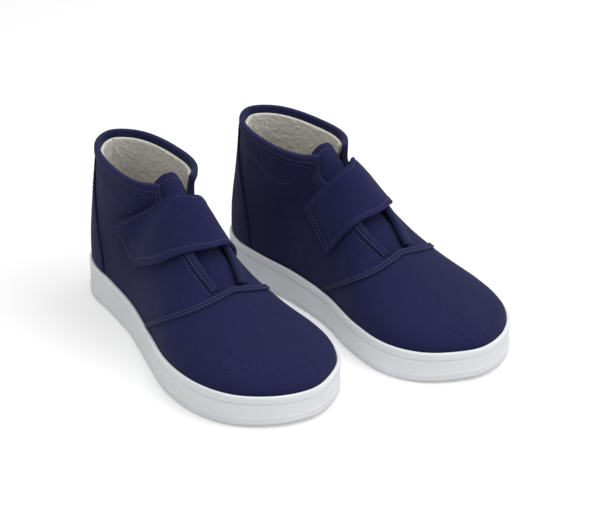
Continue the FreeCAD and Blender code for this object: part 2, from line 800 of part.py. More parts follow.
# ---------------------------------------------------------------- checks and export
for item in doc.Objects:
    if "Invalid" in item.State or "Error" in item.State:
        raise ValueError("failed: " + item.Name)
for item in parts:
    if item.Shape.isNull() or not item.Shape.isValid():
        raise ValueError("bad shape: " + item.Label)

os.makedirs("parts", exist_ok=True)
for item in parts:
    item.Shape.exportStep("parts/%s.step" % item.Label)
    print(item.Label, "%.0f mm3" % item.Shape.Volume)

# Hinge lines, printed in the pair's frame (mm), for the record of joints.
hinge_low = strap_point(SEWN_END + STRAP_SLIT, 0.0)
hinge_high = strap_point(SEWN_END + STRAP_SLIT, 1.0)
hinge_depth = strap_outer_depth(SEWN_END + STRAP_SLIT, 0.0)
tongue_root = foot_surface(TOE + TONGUE_BASE, 1.0, 7.0)
for side_name, mirror in (("right", 1), ("left", -1)):
    placement = boot_placement(mirror)
    for name, point in (("strap hinge low", foot_surface(*hinge_low, hinge_depth)),
                        ("strap hinge high", foot_surface(*hinge_high, hinge_depth)),
                        ("tongue root", tongue_root)):
        moved = placement.multVec(Vector(mirror * point.x, point.y, point.z))
        print(side_name, name, "%.2f %.2f %.2f" % tuple(moved))
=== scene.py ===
import math

import bmesh
import bpy
import numpy as np
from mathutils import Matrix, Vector


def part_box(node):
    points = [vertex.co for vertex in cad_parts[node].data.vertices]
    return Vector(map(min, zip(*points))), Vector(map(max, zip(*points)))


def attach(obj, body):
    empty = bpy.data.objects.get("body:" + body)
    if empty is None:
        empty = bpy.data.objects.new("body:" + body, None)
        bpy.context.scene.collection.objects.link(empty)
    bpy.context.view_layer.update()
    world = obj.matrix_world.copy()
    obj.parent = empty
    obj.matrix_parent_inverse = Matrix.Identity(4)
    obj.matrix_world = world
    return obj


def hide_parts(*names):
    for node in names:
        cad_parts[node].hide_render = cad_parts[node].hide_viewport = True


bl_info = {
    "name": "Canvas Boots",
    "version": (1, 0, 0),
    "blender": (4, 5, 0),
    "location": "View3D > Sidebar > Boots",
    "description": "A pair of canvas ankle boots with instep straps, fleece linings and rubber cupsoles",
    "category": "Object",
}

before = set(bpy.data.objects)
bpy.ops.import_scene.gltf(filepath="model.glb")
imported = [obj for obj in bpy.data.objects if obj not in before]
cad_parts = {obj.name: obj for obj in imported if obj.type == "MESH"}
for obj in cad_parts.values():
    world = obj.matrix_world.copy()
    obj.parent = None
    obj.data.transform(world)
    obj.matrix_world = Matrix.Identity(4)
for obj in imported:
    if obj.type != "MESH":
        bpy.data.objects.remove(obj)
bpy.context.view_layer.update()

MM = 0.001
SIDES = (("right", 1), ("left", -1))
TOE = 10                # station of the toe; 0 and 20 are the heel
STATIONS = 20
BELOW_RIM = 0.15        # rise, below zero, that reaches down into the cupsole
STEP = 0.001            # step of the numeric slopes
LINING_LEVEL = 0.0183    # where the linings and the footbed start above the ground
FOOT_LEVEL = 0.0161

# Outline: share of the length from the toe, outer and inner half width as a share of the ball
# width (first six rows) or of the heel width (the rest).
OUTLINE = (
    (0.0, -0.028, 0.028), (0.0245, 0.196, 0.212), (0.0955, 0.398, 0.407), (0.206, 0.503, 0.493),
    (0.3455, 0.506, 0.447), (0.5, 0.412, 0.330), (0.6545, 0.580, 0.514), (0.794, 0.494, 0.511),
    (0.9045, 0.440, 0.455), (0.9755, 0.278, 0.275), (1.0, 0.0, 0.0),
)
BALL_ROWS = 6

# Crown: the line that the upper rises to, along the instep ridge and then round the collar.
# Share of the length, half width as a share of the collar width, share of the collar height,
# slope of the ridge, share of collar in the crown, lean and lift of the upper at the rim,
# reach across and along the ridge, lift at the collar.
CROWN = (
    (0.186, 0.00, 0.359, 0.64, 0.0, 5.0, 0.21, 1.5, 1.5, 0.00),
    (0.196, 0.00, 0.366, 0.68, 0.0, 5.0, 0.21, 1.5, 1.5, 0.00),
    (0.232, 0.00, 0.389, 0.81, 0.0, 5.0, 0.24, 1.5, 1.5, 0.00),
    (0.289, 0.00, 0.439, 1.07, 0.0, 5.0, 0.29, 1.5, 1.5, 0.00),
    (0.368, 0.00, 0.534, 1.71, 0.0, 4.5, 0.40, 1.5, 1.3, 0.00),
    (0.468, 0.00, 0.733, 1.99, 0.0, 4.0, 0.57, 1.6, 0.8, 0.00),
    (0.568, 0.00, 0.931, 1.99, 0.1, 4.0, 0.75, 1.7, 0.3, 0.46),
    (0.671, 0.45, 0.962, 1.92, 0.9, 4.0, 0.80, 0.9, 0.3, 0.72),
    (0.800, 0.50, 0.977, 0.60, 1.0, 5.0, 0.80, 0.0, 0.0, 0.75),
    (0.914, 0.35, 0.992, 0.00, 1.0, 6.0, 0.80, 0.0, 0.0, 0.75),
    (0.964, 0.00, 1.000, 0.00, 1.0, 6.0, 0.80, 0.0, 0.0, 0.75),
)

RIDGE_END = 6.4         # stations from the toe where the ridge starts to turn into the collar
RIDGE_FADE = 0.6
SEAM_RIDGE = 3.78       # vamp seam at the ridge, and how much further back it is at the sole
SEAM_SPREAD = 1.42
SEAM_GAP = 0.012
COLLAR_START = 7.0
THROAT_SHARE = 0.66
THROAT_FULL = 4.8
RIM_CLEAR = 0.012

# Strap: stations from the toe and distance below the ridge, inner side positive.
STRAP_LOWER = ((5.15, 0.67), (5.03, 0.55), (4.88, 0.34), (4.75, 0.0), (4.95, -0.28),
               (5.35, -0.54), (6.1, -0.75))
STRAP_UPPER = ((6.2, 0.54), (6.05, 0.45), (5.88, 0.25), (5.9, 0.0), (6.35, -0.24),
               (6.85, -0.32), (7.35, -0.45))
SEWN_END = 0.1
STRAP_SLIT = 0.004
HOOK_SPAN = (0.83, 0.97)
HOOK_BAND = (0.14, 0.82)
END_ROUNDING = 0.05

TONGUE_BASE = 3.70
TONGUE_TURN = 5.75
TONGUE_BASE_SHARE = 0.6
TONGUE_TOP_SHARE = 0.96
TONGUE_RISE = 0.005     # how much further the soft top reaches than its core
TONGUE_TUCK = 0.0085     # how far its upper half lies inside the facings
TONGUE_CURL = 0.0026     # how far its sides turn in
TONGUE_CORNER = 0.013    # how far the top's corners round down


# ---------------------------------------------------------------- settings
class BootSizes(bpy.types.PropertyGroup):
    sole_length: bpy.props.FloatProperty(
        name="Sole Length", description="Outsole from toe to heel", default=0.280,
        subtype="DISTANCE", unit="LENGTH")
    ball_width: bpy.props.FloatProperty(
        name="Ball Width", description="Outsole width at the ball of the foot", default=0.122,
        subtype="DISTANCE", unit="LENGTH")
    heel_width: bpy.props.FloatProperty(
        name="Heel Width", description="Outsole width at the heel", default=0.066,
        subtype="DISTANCE", unit="LENGTH")
    collar_height: bpy.props.FloatProperty(
        name="Collar Height", description="Back of the collar above the ground", default=0.131,
        subtype="DISTANCE", unit="LENGTH")
    collar_width: bpy.props.FloatProperty(
        name="Collar Width", description="Collar opening from side to side", default=0.060,
        subtype="DISTANCE", unit="LENGTH")
    rim_toe: bpy.props.FloatProperty(
        name="Rim at Toe", description="Cupsole rim above the ground at the toe", default=0.0255,
        subtype="DISTANCE", unit="LENGTH")
    rim_heel: bpy.props.FloatProperty(
        name="Rim at Heel", description="Cupsole rim above the ground at the heel", default=0.030,
        subtype="DISTANCE", unit="LENGTH")
    toe_spring: bpy.props.FloatProperty(
        name="Toe Spring", description="Lift of the tread at the toe", default=0.003,
        subtype="DISTANCE", unit="LENGTH")
    sole_wall: bpy.props.FloatProperty(
        name="Sole Wall", description="Rubber wall round the cup", default=0.003,
        subtype="DISTANCE", unit="LENGTH")
    canvas: bpy.props.FloatProperty(
        name="Canvas", description="Thickness of the outer canvas", default=0.0014,
        subtype="DISTANCE", unit="LENGTH")
    lining: bpy.props.FloatProperty(
        name="Lining", description="Thickness of the fleece", default=0.0028,
        subtype="DISTANCE", unit="LENGTH")
    tape: bpy.props.FloatProperty(
        name="Tape", description="Thickness of the folded binding tape", default=0.0011,
        subtype="DISTANCE", unit="LENGTH")
    tape_width: bpy.props.FloatProperty(
        name="Tape Width", description="Visible width of the tapes", default=0.0055,
        subtype="DISTANCE", unit="LENGTH")
    strap: bpy.props.FloatProperty(
        name="Strap", description="Thickness of the strap", default=0.0022,
        subtype="DISTANCE", unit="LENGTH")
    hook: bpy.props.FloatProperty(
        name="Hook Tape", description="Thickness of the hook and loop tapes", default=0.0009,
        subtype="DISTANCE", unit="LENGTH")
    facing_gap: bpy.props.FloatProperty(
        name="Facing Gap", description="Open throat between the facings", default=0.030,
        subtype="DISTANCE", unit="LENGTH")
    tongue_width: bpy.props.FloatProperty(
        name="Tongue Width", description="Widest part of the tongue", default=0.048,
        subtype="DISTANCE", unit="LENGTH")
    tongue_extension: bpy.props.FloatProperty(
        name="Tongue Extension", description="Tongue standing above the throat", default=0.027,
        subtype="DISTANCE", unit="LENGTH")
    fit: bpy.props.FloatProperty(
        name="Fit", description="Clearance between seated pieces", default=0.0003,
        subtype="DISTANCE", unit="LENGTH")
    toe_out: bpy.props.FloatProperty(
        name="Toe Out", description="How far each boot is turned outwards",
        default=math.radians(4.26), subtype="ANGLE", unit="ROTATION")


class BootColours(bpy.types.PropertyGroup):
    canvas: bpy.props.FloatVectorProperty(
        name="Canvas", description="Navy of the canvas panels", subtype="COLOR", size=3,
        default=(0.0130, 0.0140, 0.0580))
    tape: bpy.props.FloatVectorProperty(
        name="Tape", description="Navy of the binding tapes", subtype="COLOR", size=3,
        default=(0.0150, 0.0165, 0.0580))
    thread: bpy.props.FloatVectorProperty(
        name="Thread", description="Sewing thread", subtype="COLOR", size=3,
        default=(0.034, 0.037, 0.098))
    fleece: bpy.props.FloatVectorProperty(
        name="Fleece", description="Lining pile", subtype="COLOR", size=3,
        default=(0.93, 0.92, 0.89))
    rubber: bpy.props.FloatVectorProperty(
        name="Rubber", description="Cupsole rubber", subtype="COLOR", size=3,
        default=(0.80, 0.81, 0.83))
    hook: bpy.props.FloatVectorProperty(
        name="Hook Tape", description="Hook and loop tapes", subtype="COLOR", size=3,
        default=(0.012, 0.013, 0.040))
    board: bpy.props.FloatVectorProperty(
        name="Board", description="Fibre board and stiffeners", subtype="COLOR", size=3,
        default=(0.42, 0.33, 0.22))


# ---------------------------------------------------------------- shape of the boot
def station_loop(rows):
    """Rows for every station: heel to toe on the outer side, then toe to heel on the inner."""
    outer, inner = rows
    return np.array([outer[TOE - i] for i in range(TOE + 1)] + [inner[i] for i in range(1, TOE)])


def smooth_rows(loop, station):
    """Catmull-Rom curve through the rows of a closed loop: at station k + f, the cubic through
    rows k and k + 1 whose slopes there are half the difference of their neighbours."""
    first = np.floor(station).astype(int)
    f = (station - first)[..., None]
    a, b, c, d = (loop[(first + shift) % len(loop)] for shift in (-1, 0, 1, 2))
    return b + 0.5 * f * (c - a + f * (2 * a - 5 * b + 4 * c - d + f * (3 * (b - c) + d - a)))


def soft_step(value):
    """0 below 0, 1 above 1, and 3x^2 - 2x^3 between."""
    value = np.clip(value, 0.0, 1.0)
    return value * value * (3 - 2 * value)


def mix(start, end, share):
    return start + (end - start) * share


def unit(vectors):
    return vectors / np.maximum(np.linalg.norm(vectors, axis=-1, keepdims=True), 1e-12)


class BootShape:
    """The right boot in its own frame: metres, toe towards -Y, middle of the sole at the origin."""

    def __init__(self, sizes):
        self.size = sizes
        length, collar = sizes.sole_length, sizes.collar_height
        rows = ([], [])
        crown = ([], [])
        for i, (along, outer, inner) in enumerate(OUTLINE):
            width = sizes.ball_width if i < BALL_ROWS else sizes.heel_width
            rows[0].append((-outer * width, (along - 0.5) * length))
            rows[1].append((inner * width, (along - 0.5) * length))
        for along, half, height, slope, share, lean, lift, across, onward, up in CROWN:
            for side, out in ((-1, crown[0]), (1, crown[1])):
                out.append((side * half * sizes.collar_width, (along - 0.5) * length,
                            height * collar, slope * collar / length, share, lean,
                            lift * collar, across, onward, up * collar))
        self.outline_loop = station_loop(rows)
        self.crown_loop = station_loop(crown)
        fit = sizes.fit
        self.inset = sizes.sole_wall + fit
        self.stiffener_depth = sizes.canvas + fit
        self.lining_depth = self.stiffener_depth + 0.9 * MM + fit
        self.lining_end = self.lining_depth + sizes.lining
        self.inner_leg = sizes.canvas + fit
        self.foot_level = FOOT_LEVEL
        self.lining_level = LINING_LEVEL

    def outline(self, station, inset):
        """Point of the sole's outline, moved inwards square to it by inset."""
        station = np.asarray(station, float)
        p = smooth_rows(self.outline_loop, station)
        step = smooth_rows(self.outline_loop, station + STEP)
        step = unit(step - smooth_rows(self.outline_loop, station - STEP))
        x = p[..., 0] - inset * step[..., 1]
        y = p[..., 1] + inset * step[..., 0]
        return x, y

    def rim(self, y):
        """Rim height: a parabola that starts level at the toe."""
        share = np.clip(y / self.size.sole_length + 0.5, 0, 1)
        return mix(self.size.rim_toe, self.size.rim_heel, share ** 2)

    def base(self, station, rise):
        """Outside of the canvas: a cubic rib from the rim (rise 0) to the crown line (rise 1),
        leaving the rim upwards and meeting the ridge or collar with its own slope."""
        station, rise = np.broadcast_arrays(np.asarray(station, float), np.asarray(rise, float))
        x, y = self.outline(station, self.inset)
        out_x, out_y = self.outline(station, self.inset - MM)
        rim = self.rim(y)
        row = smooth_rows(self.crown_loop, station)
        top_x, top_y, top_z, slope, collar, lean, lift, across, onward, up = np.moveaxis(row, -1, 0)
        inner_side = station % STATIONS > TOE
        top_x = np.where(inner_side, np.maximum(top_x, 0), np.minimum(top_x, 0))
        r = np.maximum(rise, 0.0)
        starts = (2 * r ** 3 - 3 * r ** 2 + 1, r ** 3 - 2 * r ** 2 + r)
        ends = (3 * r ** 2 - 2 * r ** 3, r ** 3 - r ** 2)
        run_x, run_y = top_x - x, top_y - y
        end = (run_x * across * (1 - collar), run_y * onward * (1 - collar),
               slope * run_y * onward * (1 - collar) + up * collar)
        px = x * starts[0] + (out_x - x) * lean * starts[1] + top_x * ends[0] + end[0] * ends[1]
        py = y * starts[0] + (out_y - y) * lean * starts[1] + top_y * ends[0] + end[1] * ends[1]
        pz = rim * starts[0] + lift * starts[1] + top_z * ends[0] + end[2] * ends[1]
        pz = pz + np.minimum(rise, 0.0) / BELOW_RIM * (rim - self.foot_level)
        return np.stack((px, py, pz), -1)

    def inward(self, station, rise):
        """Unit normal of the base surface into the boot, turned square to the ridge on it."""
        station, rise = np.broadcast_arrays(np.asarray(station, float), np.asarray(rise, float))
        above = np.minimum(rise + STEP, 1.0)
        along = self.base(station + STEP, rise) - self.base(station - STEP, rise)
        up = self.base(station, above) - self.base(station, above - 2 * STEP)
        normal = unit(np.cross(up, along))
        from_toe = np.abs(station % STATIONS - TOE)
        slope = smooth_rows(self.crown_loop, station)[..., 3]
        ridge = unit(np.stack((np.zeros_like(slope), slope, -np.ones_like(slope)), -1))
        near = np.clip((rise - 0.9) / 0.1, 0, 1)
        share = soft_step(near * np.clip((RIDGE_END - from_toe) / RIDGE_FADE, 0, 1))[..., None]
        return unit(normal * (1 - share) + ridge * share)

    def surface(self, station, rise, depth):
        """Point at a depth below the outside of the canvas."""
        return self.base(station, rise) + self.inward(station, rise) * np.asarray(depth)[..., None]

    def rise_at_level(self, station, level):
        x, y = self.outline(station, self.inset)
        rim = self.rim(y)
        return -BELOW_RIM * (rim - level) / (rim - self.foot_level)

    def rise_at_width(self, station, half_width):
        """Highest rise at which the rib is this far from the middle plane, found by halving."""
        station, half_width = np.broadcast_arrays(np.asarray(station, float),
                                                  np.asarray(half_width, float))
        low = np.full(station.shape, 0.3)
        high = np.full(station.shape, 1.0)
        outside = np.abs(self.base(station, high)[..., 0]) >= half_width
        for halving in range(24):
            middle = (low + high) / 2
            wide = np.abs(self.base(station, middle)[..., 0]) > half_width
            low = np.where(wide, middle, low)
            high = np.where(wide, high, middle)
        return np.where(outside, 1.0, low)

    def rib_length(self, station, rise):
        above = np.minimum(rise + STEP, 1.0)
        step = self.base(station, above) - self.base(station, above - STEP)
        return np.linalg.norm(step, axis=-1) / STEP

    def facing_rise(self, from_toe, side):
        """Rise of the facing's or collar's edge at this many stations from the toe."""
        share = soft_step((from_toe - SEAM_RIDGE) / (THROAT_FULL - SEAM_RIDGE))
        half_gap = self.size.facing_gap / 2 * mix(THROAT_SHARE, 1.0, share)
        edge = self.rise_at_width(TOE + side * from_toe, half_gap)
        return np.where(from_toe > COLLAR_START, 1.0, edge)

    def strap_point(self, u, v):
        """Station and rise on the strap: a line from its lower edge (v 0) to its upper (v 1)."""
        low = open_rows(STRAP_LOWER, u)
        high = open_rows(STRAP_UPPER, u)
        from_toe = mix(low[..., 0], high[..., 0], v)
        below = mix(low[..., 1], high[..., 1], v)
        return TOE + np.where(below > 0, 1, -1) * from_toe, 1 - np.abs(below)

    def strap_inner(self, u):
        """Depth of the strap's underside: over the facings' tape, then over hook and loop."""
        s = self.size
        over_tape = s.tape + 2 * s.fit
        over_hooks = s.fit + 2 * (s.hook + s.fit)
        lifted = mix(s.fit, over_tape, soft_step(u / 0.25))
        return -mix(lifted, max(over_hooks, over_tape), soft_step((u - 0.6) / 0.12))


def open_rows(rows, share):
    """Catmull-Rom curve through an open list of rows, share from 0 to 1."""
    padded = np.array((rows[0],) + tuple(rows) + (rows[-1],))
    place = np.clip(share, 0.0, 1.0) * (len(rows) - 1)
    first = np.minimum(place.astype(int), len(rows) - 2)
    return smooth_rows(padded, place + 1 - 1e-9 * (place - first > 0.999999))


def seam_station(rise):
    """Vamp seam: a parabola that runs back from the ridge to the sole."""
    return SEAM_RIDGE + SEAM_SPREAD * (1 - np.maximum(rise, 0.0)) ** 2


# ---------------------------------------------------------------- noise
def lattice(i, j, k, seed):
    """Random value of a lattice corner: a hash of its three whole numbers, 0 to 1."""
    mixed = (i * 73856093) ^ (j * 19349663) ^ (k * 83492791) ^ (seed * 2654435761)
    mixed = (mixed ^ (mixed >> 13)) * 1274126177
    return ((mixed ^ (mixed >> 16)) & 0xFFFF) / 65535.0


def cloud(points, cell, seed=0):
    """Smooth noise from 0 to 1: lattice corners a cell apart, blended with soft steps."""
    q = points / cell
    low = np.floor(q).astype(np.int64)
    f = soft_step(q - low)
    total = 0.0
    for corner in range(8):
        i, j, k = corner & 1, corner >> 1 & 1, corner >> 2
        weight = np.ones(points.shape[:-1])
        for axis, bit in enumerate((i, j, k)):
            weight = weight * (f[..., axis] if bit else 1 - f[..., axis])
        total = total + weight * lattice(low[..., 0] + i, low[..., 1] + j, low[..., 2] + k, seed)
    return total


# ---------------------------------------------------------------- meshes
class Placing:
    """Moves a right boot's points to their place in the pair; a left boot's are mirrored."""

    def __init__(self, shape, side_name, mirror):
        self.side_name = side_name
        self.boot, self.strap, self.tongue = (side_name + "_" + body
                                              for body in ("boot", "strap", "tongue"))
        self.mirror = mirror
        self.turn = -mirror * shape.size.toe_out
        x, y = shape.outline(np.linspace(0, STATIONS, 801), 0.0)
        low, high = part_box("cupsole_" + side_name)
        x, y = self.turned(x, y)
        self.x = (low[0] + high[0]) / 2 - (x.min() + x.max()) / 2
        self.y = (low[1] + high[1]) / 2 - (y.min() + y.max()) / 2

    def turned(self, x, y):
        x = x * self.mirror
        cos, sin = math.cos(self.turn), math.sin(self.turn)
        return x * cos - y * sin, x * sin + y * cos

    def __call__(self, points):
        x, y = self.turned(points[..., 0], points[..., 1])
        return np.stack((x + self.x, y + self.y, points[..., 2]), -1)

    def turned_vectors(self, vectors):
        x, y = self.turned(vectors[..., 0], vectors[..., 1])
        return np.stack((x, y, vectors[..., 2]), -1)

    def name(self, piece):
        return piece + "_" + self.side_name


def mesh_object(name, points, faces, uvs=None, shades=None, merge=1e-6):
    """Object at the origin; doubles merged and faces turned outwards."""
    mesh = bpy.data.meshes.new(name)
    mesh.from_pydata(points.tolist(), [], faces)
    if uvs is not None:
        layer = mesh.uv_layers.new(name="Cloth")
        loops = np.empty(len(mesh.loops), int)
        mesh.loops.foreach_get("vertex_index", loops)
        layer.data.foreach_set("uv", uvs[loops].astype(np.float32).ravel())
    if shades is not None:
        attribute = mesh.attributes.new("Shade", "FLOAT", "POINT")
        attribute.data.foreach_set("value", shades.astype(np.float32))
    if merge:
        work = bmesh.new()
        work.from_mesh(mesh)
        bmesh.ops.remove_doubles(work, verts=work.verts, dist=merge)
        bmesh.ops.dissolve_degenerate(work, edges=work.edges, dist=merge / 10)
        bmesh.ops.recalc_face_normals(work, faces=work.faces)
        if work.calc_volume(signed=True) < 0:
            bmesh.ops.reverse_faces(work, faces=work.faces)
        work.to_mesh(mesh)
        work.free()
    mesh.polygons.foreach_set("use_smooth", np.ones(len(mesh.polygons), bool))
    piece = bpy.data.objects.new(name, mesh)
    bpy.context.scene.collection.objects.link(piece)
    return piece


def grid_faces(rows, columns, start=0, close_rows=False, close_columns=False):
    """Quads of a grid of points stored row after row."""
    i = np.arange(rows if close_rows else rows - 1)[:, None]
    j = np.arange(columns if close_columns else columns - 1)[None, :]
    a = i * columns + j
    b = i * columns + (j + 1) % columns
    c = (i + 1) % rows * columns + (j + 1) % columns
    d = (i + 1) % rows * columns + j
    return (np.stack((a, b, c, d), -1).reshape(-1, 4) + start).tolist()


def cloth_uv(points):
    """Lengths along the grid's rows and columns, in metres, so a weave keeps its size."""
    across = np.linalg.norm(np.diff(points, axis=0), axis=-1)
    along = np.linalg.norm(np.diff(points, axis=1), axis=-1)
    u = np.vstack((np.zeros((1, points.shape[1])), np.cumsum(across, 0)))
    v = np.hstack((np.zeros((points.shape[0], 1)), np.cumsum(along, 1)))
    return np.stack((u - u[len(u) // 2], v), -1)


def spaced(count, first, last):
    """Grid lines from 0 to 1, closer together in the rounded edges at each end."""
    lines = [np.linspace(first, 1 - last, count)]
    if first:
        lines.insert(0, first * np.array((0, 0.06, 0.25, 0.55)))
    if last:
        lines.append(1 - last * np.array((0.55, 0.25, 0.06, 0)))
    return np.concatenate(lines)


def rolled(lines, first, last):
    """Share of the half thickness left in a rounded edge: a quarter circle, 0 at the edge."""
    share = np.ones_like(lines)
    for edge, distance in ((first, lines), (last, 1 - lines)):
        if edge:
            q = 1 - np.clip(distance / edge, 0, 1)
            share = share * np.sqrt(np.maximum(1 - q * q, 0))
    return share


def panel(placing, name, carry, counts, edges, near, far, relief=None, shade=None):
    """Closed panel with rounded edges. carry(u, v) gives the points it lies on and the way in;
    its two faces leave the middle depth by half the thickness, less in the rounded edges, and
    relief(u, v, points, front) is added to that half thickness."""
    us = spaced(counts[0], edges[0], edges[1])
    vs = spaced(counts[1], edges[2], edges[3])
    u, v = np.meshgrid(us, vs, indexing="ij")
    roll = rolled(us, *edges[:2])[:, None] * rolled(vs, *edges[2:])[None, :]
    near = near(u, v) if callable(near) else near + 0 * u
    far = far(u, v) if callable(far) else far + 0 * u
    middle, half = (near + far) / 2, (far - near) / 2
    base, inward = carry(u, v)
    flat = base + inward * middle[..., None]
    faces = []
    grids = []
    for front, way in ((True, -1), (False, 1)):
        extra = relief(u, v, flat, front) if relief else 0.0
        grids.append(flat + inward * (way * (half + extra) * roll)[..., None])
        faces += grid_faces(len(us), len(vs), start=len(us) * len(vs) * (not front))
    uv = cloth_uv(flat).reshape(-1, 2)
    points = np.concatenate([placing(g).reshape(-1, 3) for g in grids])
    shades = np.concatenate([shade(u, v, flat).ravel()] * 2) if shade else None
    return mesh_object(placing.name(name), points, faces, np.concatenate((uv, uv)), shades)


def on_boot(shape, domain):
    """carry() of a panel that lies on the boot: the domain gives station and rise."""
    def carry(u, v):
        station, rise = domain(u, v)
        return shape.base(station, rise), shape.inward(station, rise)
    return carry


def stitch_row(path, up, pitch=3.0 * MM, gap=0.6 * MM, radius=0.28 * MM):
    """Lockstitches along a path: each a flattened capsule whose ends dip into the cloth. The
    path is cut into equal pitches; ring k of a stitch has radius r sqrt(1 - k^2)."""
    lengths = np.concatenate(((0,), np.cumsum(np.linalg.norm(np.diff(path, axis=0), axis=1))))
    count = max(int(lengths[-1] / pitch), 1)
    centres = (np.arange(count) + 0.5) * lengths[-1] / count
    middle = sample(lengths, path, centres)
    normal = unit(sample(lengths, up, centres))
    tangent = unit(sample(lengths, path, centres + 0.2 * pitch)
                   - sample(lengths, path, centres - 0.2 * pitch))
    side = unit(np.cross(tangent, normal))
    normal = np.cross(side, tangent)
    k = np.array((-1.0, -0.8, -0.3, 0.3, 0.8, 1.0))
    ring = radius * np.sqrt(np.maximum(1 - k ** 2, 0.12))
    arch = radius * (0.9 - 2.0 * k ** 2)
    turn = np.arange(6) * math.pi / 3
    half = (pitch - gap) / 2
    centre = middle[:, None] + tangent[:, None] * (k * half)[None, :, None]
    centre = centre + normal[:, None] * arch[None, :, None]
    spoke = (side[:, None, None] * np.cos(turn)[None, None, :, None]
             + normal[:, None, None] * np.sin(turn)[None, None, :, None] * 0.8)
    points = centre[:, :, None] + spoke * ring[None, :, None, None]
    one = np.array(grid_faces(len(k), 6, close_columns=True))
    size = len(k) * 6
    faces = (one[None] + (np.arange(count) * size)[:, None, None]).reshape(-1, 4).tolist()
    for start in range(0, count * size, size):
        faces.append(list(range(start + 5, start - 1, -1)))
        faces.append(list(range(start + size - 6, start + size)))
    return points.reshape(-1, 3), faces


def sample(lengths, rows, wanted):
    """Rows read off at the wanted lengths along the path."""
    return np.stack([np.interp(wanted, lengths, rows[:, c]) for c in range(rows.shape[1])], -1)


def stitches(placing, name, rows, body):
    """One object of several stitch rows, each a path and the outward directions along it."""
    points, faces, start = [], [], 0
    for path, outward in rows:
        some, quads = stitch_row(placing(path), placing.turned_vectors(outward))
        points.append(some)
        faces += [[index + start for index in face] for face in quads]
        start += len(some)
    piece = mesh_object(placing.name(name), np.concatenate(points), faces, merge=0)
    piece.data.flip_normals()
    return finished(piece, "thread", "navy_tape", body)


def finished(piece, finish, slot, body, *nodes):
    """Gives a piece its material and its body, and hides the nodes it stands for; the slot argument is not
    used.
    """
    piece.data.materials.append(material(finish))
    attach(piece, body)
    if nodes:
        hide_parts(*nodes)
    return piece


# ---------------------------------------------------------------- materials
class Nodes:
    """Short calls for a material's node tree."""

    def __init__(self, tree):
        self.tree = tree

    def add(self, kind, **values):
        node = self.tree.nodes.new("ShaderNode" + kind)
        for key, value in values.items():
            if key in node.inputs:
                node.inputs[key].default_value = value
            else:
                setattr(node, key, value)
        return node

    def link(self, output, socket):
        self.tree.links.new(output, socket)

    def sum(self, operation, a, b=None, clamp=False):
        node = self.add("Math", operation=operation, use_clamp=clamp)
        for value, socket in ((a, node.inputs[0]), (b, node.inputs[1])):
            if value is None:
                continue
            if isinstance(value, (int, float)):
                socket.default_value = value
            else:
                self.link(value, socket)
        return node.outputs[0]

    def scaled(self, vector, scale):
        node = self.add("Mapping")
        node.inputs["Scale"].default_value = scale
        self.link(vector, node.inputs["Vector"])
        return node.outputs["Vector"]

    def noise(self, vector, scale, detail=3.0, roughness=0.55):
        node = self.add("TexNoise", Scale=scale, Detail=detail, Roughness=roughness)
        self.link(vector, node.inputs["Vector"])
        return node.outputs["Fac"]

    def blend(self, share, first, second):
        """Colour between two colours, each an RGB or a socket."""
        node = self.add("Mix", data_type="RGBA")
        self.link(share, node.inputs["Factor"])
        for value, socket in ((first, node.inputs[6]), (second, node.inputs[7])):
            if isinstance(value, tuple):
                socket.default_value = value + (1.0,)
            else:
                self.link(value, socket)
        return node.outputs[2]

    def between(self, value, low, high):
        """0 to 1 as value goes from low to high."""
        node = self.add("MapRange")
        node.inputs["From Min"].default_value = low
        node.inputs["From Max"].default_value = high
        self.link(value, node.inputs["Value"])
        return node.outputs["Result"]


def toned(colour, factor):
    return tuple(min(channel * factor, 1.0) for channel in colour)


def woven(n, bsdf, colour, pitch, depth):
    """Plain weave: the product of two sines of the cloth's lengths, with slubs along both
    threads and a slow fade over the panel."""
    uv = n.add("UVMap").outputs["UV"]
    place = n.add("TexCoord").outputs["Object"]
    split = n.add("SeparateXYZ")
    n.link(n.scaled(uv, (math.tau / pitch,) * 3), split.inputs["Vector"])
    warp = n.sum("SINE", split.outputs["X"])
    weft = n.sum("SINE", split.outputs["Y"])
    weave = n.sum("MULTIPLY", warp, weft)
    slub_a = n.noise(n.scaled(uv, (90.0, 1400.0, 1.0)), 1.0, 2.0)
    slub_b = n.noise(n.scaled(uv, (1400.0, 90.0, 1.0)), 1.0, 2.0)
    slub = n.sum("MULTIPLY", n.sum("ADD", slub_a, slub_b), 0.5)
    fade = n.noise(place, 22.0, 3.0)
    grain = n.noise(place, 900.0, 2.0)
    light = n.between(slub, 0.38, 0.62)
    worn = n.blend(light, toned(colour, 0.55), toned(colour, 1.55))
    worn = n.blend(n.between(fade, 0.3, 0.7), worn, toned(colour, 1.02))
    weave_share = n.sum("MULTIPLY", n.between(weave, -1.0, 1.0), 0.35)
    worn = n.blend(weave_share, worn, toned(colour, 1.35))
    shade = n.add("Attribute", attribute_name="Shade").outputs["Fac"]
    worn = n.blend(n.sum("MULTIPLY", shade, 0.5), worn, toned(colour, 1.8))
    n.link(worn, bsdf.inputs["Base Color"])
    height = n.sum("ADD", n.sum("MULTIPLY", weave, 0.5), n.sum("MULTIPLY", slub, 1.2))
    height = n.sum("ADD", height, n.sum("MULTIPLY", grain, 0.5))
    bump(n, bsdf, height, depth)
    rough = n.sum("ADD", n.sum("MULTIPLY", grain, 0.12), 0.80)
    n.link(rough, bsdf.inputs["Roughness"])
    bsdf.inputs["Specular IOR Level"].default_value = 0.10
    bsdf.inputs["Sheen Weight"].default_value = 0.05
    bsdf.inputs["Sheen Roughness"].default_value = 0.45


def bump(n, bsdf, height, depth):
    node = n.add("Bump", Strength=0.6, Distance=depth)
    n.link(height, node.inputs["Height"])
    n.link(node.outputs["Normal"], bsdf.inputs["Normal"])


